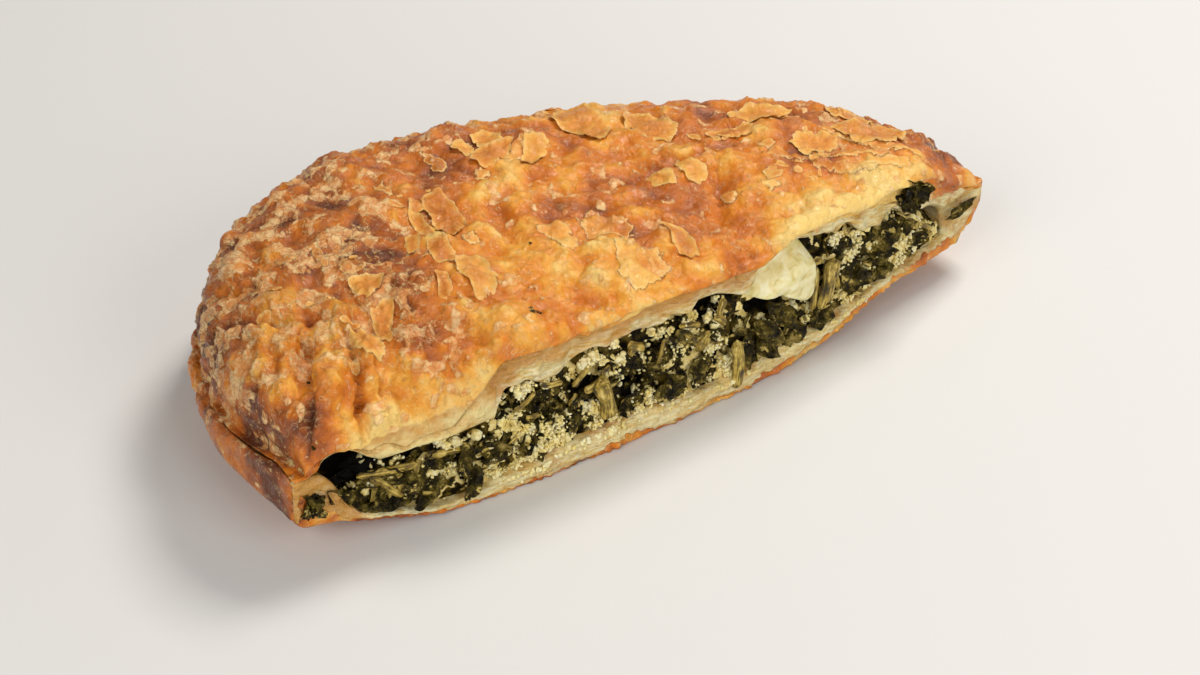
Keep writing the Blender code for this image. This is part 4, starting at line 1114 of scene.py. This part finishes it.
def body_loop(x_cut):
    """One loop round the filling's body: back under the top crust, forward over the bed and up the cut."""
    share = (x_cut + HALF_CUT_LEFT) / (HALF_CUT_LEFT + HALF_CUT_RIGHT)
    width = strip_at(share)[4]
    x, y = plan_point(share, np.linspace(FILLING_SETBACK / width, max(1 - BODY_INSET / width, 0.5), BODY_ROWS))
    distance = rim_distance(x, y)[0]
    low, high = filling_limits(x)
    back = y - cut_line(x)
    top = high + (np.maximum(ceiling_height(x, y, distance) + 1.0, low + 3) - high) * ease(6, 22, back)
    low = low - 1.0 + 0 * x
    top = np.maximum(top, low + 2.0)
    up = np.linspace(0, 1, SEEN_ROWS + 2)[1:-1]
    z = low[0] + (top[0] - low[0]) * up
    face = np.stack([x[0] + 0 * z, y[0] + BODY_TOP_SETBACK * ease(0.78, 1.0, up), z], 1)
    y[0] += BODY_TOP_SETBACK
    loop = np.concatenate([np.stack([x, y, top], 1), np.stack([x, y, low], 1)[::-1], face])
    return loop, np.concatenate([np.zeros(2 * BODY_ROWS), np.sin(math.pi * up) ** 0.5])


loops = [body_loop(x) for x in np.linspace(FILLING_LEFT, FILLING_RIGHT, BODY_COLUMNS)]
sections, seen = (np.array(part) for part in zip(*loops))
filling_body = loft("filling_body", sections, {"seen": seen})
mesh = filling_body.data
x, y, z = points_of(mesh).T
crumbs = lumps_of(x, y, z, (3.2, 200.0, 1.0), (1.5, 205.0, 0.6), (0.8, 210.0, 0.3))
curd = crumbs + curdiness(x, z) * 0.9 - 0.50
caves = np.clip(lumps(x, y, z, 7.0, 220.0) - 0.15, 0, 1) * 5.0
deep = hollow(x, z)
relief = ease(-0.1, 0.25, curd) * 0.9 + lumps(x, y, z, 2.0, 230.0) * 0.9 - caves - deep - 0.2
push_out(mesh, relief * field_of(mesh, "seen"))
# The hollows' depth goes to the material as painted shade, and it also thins the pale curd there
store_fields(mesh, curd=curd - 0.12 * deep, deep=deep / 5)

LEAF_DARK = colour(18, 13, 3)
LEAF_GREEN = colour(98, 84, 28)
LEAF_PALE = colour(176, 153, 84)
CURD_PALE = colour(255, 237, 170)
CURD_GREEN = colour(228, 200, 112)
OLIVE = colour(114, 94, 32)
HOLLOW_PAINTED_SHADE = colour(8, 5, 1)

body_finish, tree, shader = blank_material("spinach_and_cheese")
where = millimetres(tree)
fine = cloud(tree, where, 0.9, 5.0, 0.65)
# Dark leaf with olive patches, with painted shade laid into the hollows
green = covered(tree, LEAF_DARK, (between(tree, cloud(tree, where, 2.4, 4.0), 0.42, 0.66), OLIVE),
                (between(tree, stored(tree, "deep"), 0.1, 0.6), HOLLOW_PAINTED_SHADE))
pale = blend(tree, between(tree, fine, 0.35, 0.65), CURD_GREEN, CURD_PALE)
curdy = between(tree, plus(tree, stored(tree, "curd"), gained(tree, fine, 0.8, -0.4)), -0.03, 0.06)
join(tree, shader, {"Base Color": blend(tree, curdy, green, pale), "Specular IOR Level": 0.08,
                    "Roughness": between(tree, curdy, 0, 1, 0.30, 0.55),
                    "Normal": bumped(tree, fine, 0.5, 0.9), **soaked(0.1, 1.2, 1.1, 0.5)})
filling_body.data.materials.append(body_finish)
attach(filling_body, "root")
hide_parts("filling")


# The spinach leaves
# Cooked scraps of leaf, dark, wet and crumpled, sliced by the knife or pulled out of the cut. They lie at
# all angles on the face of the filling, and the largest hang over the edge of the base.

LEAF_TOTAL = 330
LEAF_CELLS = 6
GREAT_LEAF_CELLS = 16
GREAT_LEAF_CRUMPLE = 0.6
LEAF_SKIN = 0.35
LEAF_OVAL = 2.05

# Large leaves seen one by one: x, z, distance in front of the filling, length, width, turn in degrees
GREAT_LEAVES = [
    (-92, 11.3, 2.6, 14, 8, -12), (-98, 13, 1.8, 14, 6, -24), (-84, 13.5, 2.0, 11, 6, 4),
    (-93, 17, 1.2, 14, 5, -10), (-82, 8.5, 3.0, 11, 5.5, 24), (-105, 14.5, 1.4, 9, 5, -50),
    (-72, 14.3, 2.8, 10, 5, 84), (-78, 17.2, 1.8, 9, 5, 4), (-70, 7, 3.4, 11, 4, 78),
    (-63.3, 14, 2.4, 8, 5.5, -20), (-53.6, 12, 2.4, 6.5, 5, 10), (-95, 9, 2.4, 11, 3.2, -20),
    (-38, 19.5, 1.4, 9.5, 5.5, 20), (-47, 24, -0.6, 8, 5, 10), (-10.1, 12.2, 2.6, 10, 6.5, 38),
    (-22, 11, 1.0, 8, 5, 20), (-14, 18, 0.2, 9, 7, 30), (0, 14, 1.8, 9, 6.5, 25), (-5, 24.5, 0.8, 8, 6, -30),
    (16.8, 12.8, 2.6, 11, 5.5, 84), (22.5, 13.6, 3.0, 13, 9, -58), (28.2, 18.6, 2.4, 12, 6.5, -52),
    (32.6, 11, 2.8, 8.5, 6.5, 30), (43.4, 12.4, 3.2, 9, 7, 60), (54.3, 19.5, 2.8, 9, 7.5, 30),
    (59.6, 15.4, 2.8, 8, 4.5, 80), (65.3, 26.6, 2.2, 13, 8.5, 25), (66.5, 20.4, 2.6, 9.5, 5, 15),
    (67, 15.2, 2.8, 8, 4, 20), (77, 24, 1.8, 8, 5, 20), (50, 29.5, 1.6, 8, 5, 60), (83, 18.5, 2.2, 7, 4.5, 10),
    (102, 19.6, 3.4, 11, 2.8, 12),
]


def crumpled_leaf(gathered, place, length, width, turn, tilt, seed, cells=LEAF_CELLS, crumple=1.0):
    """Adds one scrap of leaf: a small sheet, torn to a rough oval, crumpled, and given its thickness."""
    scrap = bmesh.new()
    bmesh.ops.create_grid(scrap, x_segments=cells, y_segments=cells, size=0.5)
    for vert in scrap.verts:
        u, v = vert.co.x * 2, vert.co.y * 2
        long = length * (1 + 0.5 * crumple * noise.noise((u * 1.6, v * 1.6, seed)))
        wide = width * (1 + 0.5 * crumple * noise.noise((u * 1.6, v * 1.6, seed + 9)))
        fold = noise.noise((u * 1.2, v * 1.2, seed + 3)) * 0.42 + 0.11 * (u * u + v * v - 0.7)
        fold += abs(noise.noise((u * 2.6, v * 1.3, seed + 6))) * 0.32 * crumple
        fold += abs(noise.noise((u * 5, v * 3.4, seed + 8))) * 0.10 * crumple
        vert.co = (u / 2 * long * math.sqrt(1 - v * v / LEAF_OVAL), v / 2 * wide * math.sqrt(1 - u * u / LEAF_OVAL),
                   fold * min(length, width))
    bmesh.ops.solidify(scrap, geom=list(scrap.faces), thickness=LEAF_SKIN)
    turned = (Matrix.Translation(place) @ Matrix.Rotation(-turn, 4, "Y") @ Matrix.Rotation(tilt[1], 4, "Z")
              @ Matrix.Rotation(math.pi / 2 + tilt[0], 4, "X"))
    for vert in scrap.verts:
        vert.co = (turned @ vert.co - CENTRE) * MM
    bmesh.ops.recalc_face_normals(scrap, faces=scrap.faces)
    gather(gathered, scrap)


def at_cut(x, z, behind=0.0):
    """A point at one x and height, on the cut or behind it."""
    return Vector((x, float(cut_line(np.array(float(x)))) + behind, z))


def on_great_leaf(x_at, z_at):
    """Whether one of the large leaves covers a place on the cut."""
    for x_leaf, z_leaf, _, length, width, turn in GREAT_LEAVES:
        c, s = math.cos(math.radians(turn)), math.sin(math.radians(turn))
        dx, dz = x_at - x_leaf, z_at - z_leaf
        if ((dx * c + dz * s) / length) ** 2 + ((dz * c - dx * s) / width) ** 2 < 0.17:
            return True
    return False


def filling_spot(draw, margin):
    """A random place on the face of the filling, clear of the crusts by a margin."""
    while True:
        x = draw.uniform(FILLING_LEFT + 3, FILLING_RIGHT - 2)
        low, high = (float(h) for h in filling_limits(np.array(x)))
        share = draw.random()
        z = low + margin + (high - low - 2 * margin) * share
        behind_flap = 8 < x < 42 and z > 19
        if high - low > 2 * margin and draw.random() < (high - low) / 28 and not behind_flap:
            return x, z


leaves_shell = bmesh.new()
draw = random.Random(11)
for x_at, z_at, front, length, width, turn in GREAT_LEAVES:
    tilt = (draw.uniform(-0.35, 0.25), draw.uniform(-0.3, 0.3))
    place = at_cut(x_at, z_at, FILLING_SETBACK - front)
    crumpled_leaf(leaves_shell, place, length, width, math.radians(turn), tilt, draw.uniform(0, 99),
                  GREAT_LEAF_CELLS, GREAT_LEAF_CRUMPLE)
for _ in range(LEAF_TOTAL):
    size = draw.uniform(2.4, 6.6)
    x_at, z_at = filling_spot(draw, 1.2 + 0.35 * size)
    if on_great_leaf(x_at, z_at) or (x_at > 42 and draw.random() < 0.5):
        continue
    turn = draw.gauss(0.1, 0.5) if x_at < -62 else draw.uniform(0, math.pi)
    tilt = (draw.uniform(-0.6, 0.45), draw.uniform(-0.45, 0.45))
    behind = FILLING_SETBACK + float(hollow(np.array(x_at), z_at)) - draw.uniform(-1.2, 1.0)
    crumpled_leaf(leaves_shell, at_cut(x_at, z_at, behind), size * draw.uniform(1.0, 1.7),
                  size * draw.uniform(0.5, 0.9), turn, tilt, draw.uniform(0, 99))
leaves = finished("spinach_leaves", leaves_shell)

leaf_finish, tree, shader = blank_material("wet_spinach")
where = millimetres(tree)
broad, fine = cloud(tree, where, 3.5, 4.0), cloud(tree, where, 0.7, 5.0, 0.65)
green = ramp(tree, plus(tree, broad, gained(tree, fine, 0.3, -0.15)),
             [(0.35, LEAF_DARK), (0.49, colour(54, 45, 13)), (0.59, LEAF_GREEN), (0.73, LEAF_PALE)])
smeared = between(tree, plus(tree, cloud(tree, where, 2.6, 5.0, 0.6), times(tree, fine, 0.3)), 0.75, 0.82)
relief = bumped(tree, between(tree, seams(tree, where, 0.8), 0.0, 0.2), 0.35, 0.7)
relief = bumped(tree, cloud(tree, where, 1.5, 4.0, 0.6, 0.8), 0.8, 0.9, relief)
relief = bumped(tree, fine, 0.22, 0.9, relief)
join(tree, shader, {"Base Color": blend(tree, times(tree, smeared, 0.8), green, CURD_GREEN),
                    "Roughness": between(tree, fine, 0.3, 0.7, 0.20, 0.42), "Specular IOR Level": 0.12,
                    "Normal": relief, "Coat Normal": relief, "Coat Weight": 0.06, "Coat Roughness": 0.1})
leaves.data.materials.append(leaf_finish)
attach(leaves, "root")
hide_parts("filling")


# The spinach stems
# Short cut lengths of stalk and leaf rib, olive to yellow, flattened, bent and split along their fibres.

STEM_SIDES = 20
STEM_RINGS = 12
STEM_FLATNESS = 0.7
SMALL_STEMS = 46

# Stems seen one by one: the two ends as x and z on the cut, distance in front of the filling, radius
GREAT_STEMS = [
    (-32.5, 23.8, -30, 11, 3.0, 2.5), (11.8, 17.8, 13, 2.2, 3.4, 1.9), (46.5, 28.5, 43.5, 13.5, 3.0, 2.2),
    (41.5, 27.5, 40, 14, 2.4, 0.8), (52, 21, 55, 16.5, 2.6, 0.8), (-100, 19, -84, 17.5, 2.2, 1.0),
    (-97, 17.5, -88, 10, 2.6, 0.9), (-90, 13.5, -80, 6.5, 2.8, 0.7), (-82, 19, -72, 17.5, 2.0, 1.0),
    (-50, 29, -44, 27.5, 2.8, 0.8), (-24, 30.5, -19, 28, 2.6, 1.1), (38.5, 30.5, 42, 29.5, 2.4, 0.9),
    (48, 26, 50, 17, 2.4, 1.0), (5, 27, 9, 24, 1.6, 0.9), (-94, 14.5, -86, 12.5, 2.0, 0.8),
    (56, 12.5, 60, 10.5, 2.6, 0.7), (84, 22, 90, 17.5, 2.0, 0.7), (-4, 26, -1, 21, 1.4, 0.8),
]


def stem_piece(gathered, start, end, radius, seed):
    """Adds one length of stem: a tube between two points, bowed, flattened and ridged along its fibres."""
    tube, points, strands = to_roll(STEM_SIDES, STEM_RINGS - 1, ("strand_a", "strand_b", "strand_c"))
    run = end - start
    side = run.cross(Vector((0, -1, 0))).normalized()
    front = side.cross(run).normalized()
    for vert, corner, ring in points:
        angle, along = corner / STEM_SIDES * math.tau, ring / (STEM_RINGS - 1)
        c, s = math.cos(angle), math.sin(angle)
        blunt = min(1.0, math.sqrt(max(1 - (2 * along - 1) ** 10, 0.0)) + 0.02)
        wander = noise.noise((along * 1.5, 0, seed)) * 1.2
        ridge = 1 + 0.24 * noise.noise((c * 2, s * 2, seed + along * 0.8))
        ridge += 0.22 * noise.noise((c * 5, s * 5, seed + along * 0.6))
        width = radius * blunt * ridge * (1 + 0.35 * noise.noise((along * 2, 5, seed)))
        for layer, value in zip(strands, (c * width, s * width, run.length * along * 0.12 + seed)):
            vert[layer] = value
        spot = start + run * along + side * (wander + c * width) + front * s * width * STEM_FLATNESS
        vert.co = (spot - CENTRE) * MM
    closed(tube, 1e-6)
    gather(gathered, tube)


stems_shell = bmesh.new()
draw = random.Random(23)
for x1, z1, x2, z2, front, radius in GREAT_STEMS:
    near, far = at_cut(x1, z1, FILLING_SETBACK - front + 0.6), at_cut(x2, z2, FILLING_SETBACK - front)
    stem_piece(stems_shell, near, far, radius, draw.uniform(0, 99))
for _ in range(SMALL_STEMS):
    x_at, z_at = filling_spot(draw, 2.5)
    length, lean = draw.uniform(3, 8), draw.uniform(-0.6, 1.4)
    half = Vector((math.cos(lean), draw.uniform(-0.25, 0.25), math.sin(lean))) * length / 2
    middle = at_cut(x_at, z_at, FILLING_SETBACK - draw.uniform(0.2, 1.6))
    stem_piece(stems_shell, middle - half, middle + half, draw.uniform(0.4, 1.0), draw.uniform(0, 99))
stems = finished("spinach_stems", stems_shell)

stem_finish, tree, shader = blank_material("stewed_stem")
strand = add(tree, "ShaderNodeCombineXYZ", {"X": stored(tree, "strand_a"), "Y": stored(tree, "strand_b"),
                                            "Z": stored(tree, "strand_c")}).outputs["Vector"]
fibres = cloud(tree, strand, 0.6, 4.0, 0.6)
green = ramp(tree, plus(tree, cloud(tree, millimetres(tree), 3.0, 3.0), gained(tree, fibres, 1.1, -0.55)),
             [(0.28, colour(58, 46, 17)), (0.44, colour(138, 113, 38)), (0.58, colour(193, 164, 68)),
              (0.76, colour(236, 211, 130))])
join(tree, shader, {"Base Color": green, "Roughness": 0.34, "Normal": bumped(tree, fibres, 0.8),
                    **soaked(0.15, 1.2, 1.1, 0.4)})
stems.data.materials.append(stem_finish)
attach(stems, "root")
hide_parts("filling")


# The cheese curds
# Pale crumbs of white cheese set in egg, a millimetre or two across, stuck in clumps between the leaves
# and pressed along the top of the base.

CRUMB_TOTAL = 4600
CLUMP_TOTAL = 480
STRAY_TOTAL = 120


def crumb(gathered, place, radius, subdivisions, draw):
    """Adds one crumb: a small ball, squashed and dented."""
    ball = bmesh.new()
    squash = [radius * draw.uniform(0.65, 1.35) * MM for _ in range(3)]
    spin = Matrix.Rotation(draw.uniform(0, math.tau), 4, Vector((draw.random(), draw.random(), 1)))
    shape = Matrix.Translation((place - CENTRE) * MM) @ spin @ Matrix.Diagonal((*squash, 1))
    bmesh.ops.create_icosphere(ball, subdivisions=subdivisions, radius=1.0)
    seed = draw.uniform(0, 99)
    for vert in ball.verts:
        dent = 1 + 0.5 * noise.noise(vert.co * 1.7 + Vector((seed, 0, 0)))
        vert.co = shape @ (vert.co * dent)
    gather(gathered, ball)


curds_shell = bmesh.new()
draw = random.Random(31)
placed = 0
while placed < CRUMB_TOTAL + CLUMP_TOTAL:
    x_at, z_at = filling_spot(draw, 0.4)
    drift = noise.noise((x_at / 4.5, z_at / 4.5, 7.7)) + 0.5 * noise.noise((x_at / 2.0, z_at / 2.0, 1.7))
    wanted = float(curdiness(np.array(x_at), np.array(z_at)))
    if drift + wanted * 0.8 - 0.38 < draw.uniform(0, 0.35):
        continue
    if on_great_leaf(x_at, z_at) and draw.random() < 0.78:
        continue
    fallen = float(hollow(np.array(x_at), z_at))
    if draw.random() < fallen / 6:
        continue
    big = placed < CLUMP_TOTAL
    radius = draw.uniform(0.6, 1.2) if big else draw.uniform(0.22, 0.58)
    depth = FILLING_SETBACK + 0.8 * fallen - draw.uniform(-0.6, 1.1) - (0.0 if big else draw.uniform(0, 1.3))
    crumb(curds_shell, at_cut(x_at, z_at, depth), radius, 2 if big else 1, draw)
    placed += 1
for _ in range(STRAY_TOTAL):
    x_at = draw.choice((draw.uniform(-64, 66), draw.uniform(-60, -24)))
    radius = draw.uniform(0.3, 0.8)
    z_at = float(smooth_through(BED_EDGE, np.array(x_at))) - abs(draw.gauss(0, 1.1))
    depth = float(setback(np.array(x_at), z_at)) + 0.1
    crumb(curds_shell, at_cut(x_at, z_at, depth), radius, 1, draw)
curds = finished("cheese_curds", curds_shell)

curd_finish, tree, shader = blank_material("white_cheese")
where = millimetres(tree)
fine = cloud(tree, where, 0.6, 4.0)
pale = ramp(tree, plus(tree, cloud(tree, where, 4.0, 3.0), gained(tree, fine, 0.4, -0.2)),
            [(0.30, colour(222, 195, 104)), (0.44, colour(249, 227, 148)), (0.58, colour(255, 241, 182)),
             (0.8, colour(255, 249, 216))])
join(tree, shader, {"Base Color": pale, "Roughness": 0.5, "Normal": bumped(tree, fine, 0.3, 0.8),
                    **soaked(0.25, 1.2, 1.0, 0.5)})
curds.data.materials.append(curd_finish)
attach(curds, "root")
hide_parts("filling")


# The flap of soft dough
# A torn tongue of the crust's moist inner dough that hangs from the cut in front of the filling.

FLAP = [(17, 35), (22, 39), (28, 41), (34, 41), (37, 36), (38.6, 31), (39, 26.5), (38.5, 22.5), (36, 20),
        (34, 21), (31, 23.3), (25, 26.6), (21, 27.2), (15, 29), (11, 30.6), (12, 33)]
FLAP_HEART = np.array([28.5, 30.5])
FLAP_THICKNESS = 1.5
FLAP_RINGS = 12
FLAP_POINTS = 72

outline = softened(FLAP, FLAP_POINTS, 3)
flap_shell, points, _ = to_roll(FLAP_POINTS, 2 * FLAP_RINGS)
for vert, spoke, ring in points:
    across = math.pi * ring / (2 * FLAP_RINGS)
    reach = math.sin(across) ** 0.8
    x_at, z_at = FLAP_HEART + (outline[spoke % FLAP_POINTS] - FLAP_HEART) * reach
    ripple = noise.noise((x_at / 4, z_at / 4, 3)) * 0.8 + noise.noise((x_at / 1.6, z_at / 2.5, 5)) * 0.3
    thick = FLAP_THICKNESS * math.cos(across) * (1 - 0.35 * reach)
    root = float(ease(-7, 1, z_at - smooth_through(LIP_HEIGHT, np.array(x_at)))) * 6.5
    vert.co = (at_cut(x_at, z_at, -0.6 - thick + root + ripple * reach**0.5) - CENTRE) * MM
closed(flap_shell, 1e-6)
flap = finished("dough_flap", flap_shell)

flap_finish, tree, shader = blank_material("moist_dough")
soft = cloud(tree, millimetres(tree), 3.0, 4.0, 0.55, 0.5)
pale = ramp(tree, soft, [(0.3, colour(208, 186, 108)), (0.48, colour(232, 220, 160)),
                         (0.66, colour(244, 236, 198))])
join(tree, shader, {"Base Color": pale, "Roughness": 0.28, "Normal": bumped(tree, soft, 0.8, 0.6),
                    **soaked(0.35, 2.0, 1.4, 0.6)})
flap.data.materials.append(flap_finish)
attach(flap, "root")
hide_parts("pastry")


# The squeezed-out spinach
# Two tufts of leaf, one pushed up through the layers near the right tip and one between the plies of the
# left corner, each a bunch of crumpled scraps.

TUFT_CELLS = 10

# Each tuft's solid, its place at the cut, its spread, the least and most size of its scraps, their number
# and a seed
TUFTS = {
    "right_tuft": ("spinach_tuft", (77.5, 35.5, 0.5), (10.0, 5.0, 8.5), (3.4, 5.4), 16, 41),
    "corner_tuft": ("corner_spinach", (-111.6, 15.6, 0.2), (4.4, 2.0, 5.6), (2.6, 4.2), 13, 43),
}

for name, (node, place, spread, sizes, count, seed) in TUFTS.items():
    bunch = bmesh.new()
    draw = random.Random(seed)
    for _ in range(count):
        off = Vector([draw.uniform(-0.34, 0.34) * reach for reach in spread])
        size = draw.uniform(*sizes)
        crumpled_leaf(bunch, at_cut(*place) + off, size * 1.3, size * 0.8, draw.uniform(0, math.pi),
                      (draw.uniform(-0.8, 0.5), draw.uniform(-0.6, 0.6)), draw.uniform(0, 99), TUFT_CELLS)
    tuft = finished(name, bunch)
    tuft.data.materials.append(leaf_finish)
    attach(tuft, "root")
    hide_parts(node)


# The specks of leaf
# Five crumbs of the same spinach that the knife carried up and dropped on the crust, the largest under
# three millimetres long.

# Each speck: x, y, length
LEAF_SPECKS = [(-46.8, -0.8, 2.6), (-45.4, -1.8, 1.6), (-30.9, 21.5, 1.0), (-110, 0.2, 2.0),
               (-103.5, 12, 1.1)]

specks_shell = bmesh.new()
draw = random.Random(47)
for x_at, y_at, length in LEAF_SPECKS:
    crumpled_leaf(specks_shell, Vector((x_at, y_at, on_crust(x_at, y_at) + 0.15)), length, length * 0.55,
                  draw.uniform(-0.2, 0.2), (-math.pi / 2, draw.uniform(0, math.pi)), draw.uniform(0, 99))
specks = finished("leaf_specks", specks_shell)
specks.data.materials.append(leaf_finish)
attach(specks, "root")


# The floor, the light and the camera
# A plain pale surface, soft light from the upper right with a broad fill, and a long lens looking down
# at the pie from its left front.

FLOOR_REACH = 3.0
LAMP_AIM = Vector((0, 0, 0.02))
CAMERA_PLACE = (-344.1, -451.4, 396.2)
CAMERA_HEADING = 38.5
CAMERA_DIP = 35.49
CAMERA_ROLL = 1.16
LENS = 75.0
SENSOR = 36.0

# Square soft lamps: name, place in metres, size, power and tint
LAMPS = [
    ("key", (0.70, 0.20, 0.95), 0.36, 10.0, (1.0, 0.97, 0.92)),
    ("front", (0.05, -1.15, 0.60), 0.8, 7.0, (1.0, 0.99, 0.97)),
    ("left", (-1.0, -0.35, 0.75), 0.7, 6.4, (1.0, 0.99, 0.97)),
]

floor_shell = bmesh.new()
bmesh.ops.create_grid(floor_shell, x_segments=1, y_segments=1, size=FLOOR_REACH)
floor = finished("floor", floor_shell)
floor_finish, tree, shader = blank_material("pale_floor")
join(tree, shader, {"Base Color": (0.72, 0.71, 0.69, 1.0), "Roughness": 0.6})
floor.data.materials.append(floor_finish)
floor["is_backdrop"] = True

for name, place, size, power, tint in LAMPS:
    lamp = bpy.data.lights.new(name, "AREA")
    lamp.shape, lamp.size, lamp.energy, lamp.color = "SQUARE", size, power, tint
    holder = bpy.data.objects.new(name, lamp)
    holder.location = place
    holder.rotation_euler = (LAMP_AIM - Vector(place)).to_track_quat("-Z", "Y").to_euler()
    bpy.context.scene.collection.objects.link(holder)

world = bpy.data.worlds.new("studio")
world.use_nodes = True
sky = world.node_tree.nodes["Background"]
join(world.node_tree, sky, {"Color": (1.0, 0.98, 0.95, 1.0), "Strength": 0.21})
bpy.context.scene.world = world
bpy.context.scene.view_settings.view_transform = "Standard"

heading, dip, roll = (math.radians(a) for a in (CAMERA_HEADING, CAMERA_DIP, CAMERA_ROLL))
turned = Matrix.Rotation(-heading, 3, "Z")
level_right, level_up = Vector((1, 0, 0)), Vector((0, math.sin(dip), math.cos(dip)))
sight = turned @ Vector((0, math.cos(dip), -math.sin(dip)))
right = turned @ (level_right * math.cos(roll) + level_up * math.sin(roll))
up = turned @ (level_up * math.cos(roll) - level_right * math.sin(roll))
camera = bpy.data.objects.new("camera", bpy.data.cameras.new("camera"))
camera.data.lens = LENS
camera.data.sensor_width = SENSOR
turned = Matrix((right, up, -sight)).transposed().to_4x4()
camera.matrix_world = Matrix.Translation(Vector(CAMERA_PLACE) * MM) @ turned
bpy.context.scene.collection.objects.link(camera)
bpy.context.scene.camera = camera

visual_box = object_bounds()
sizes = {"cad": [list(corner) for corner in cad_box], "visual": [list(corner) for corner in visual_box]}
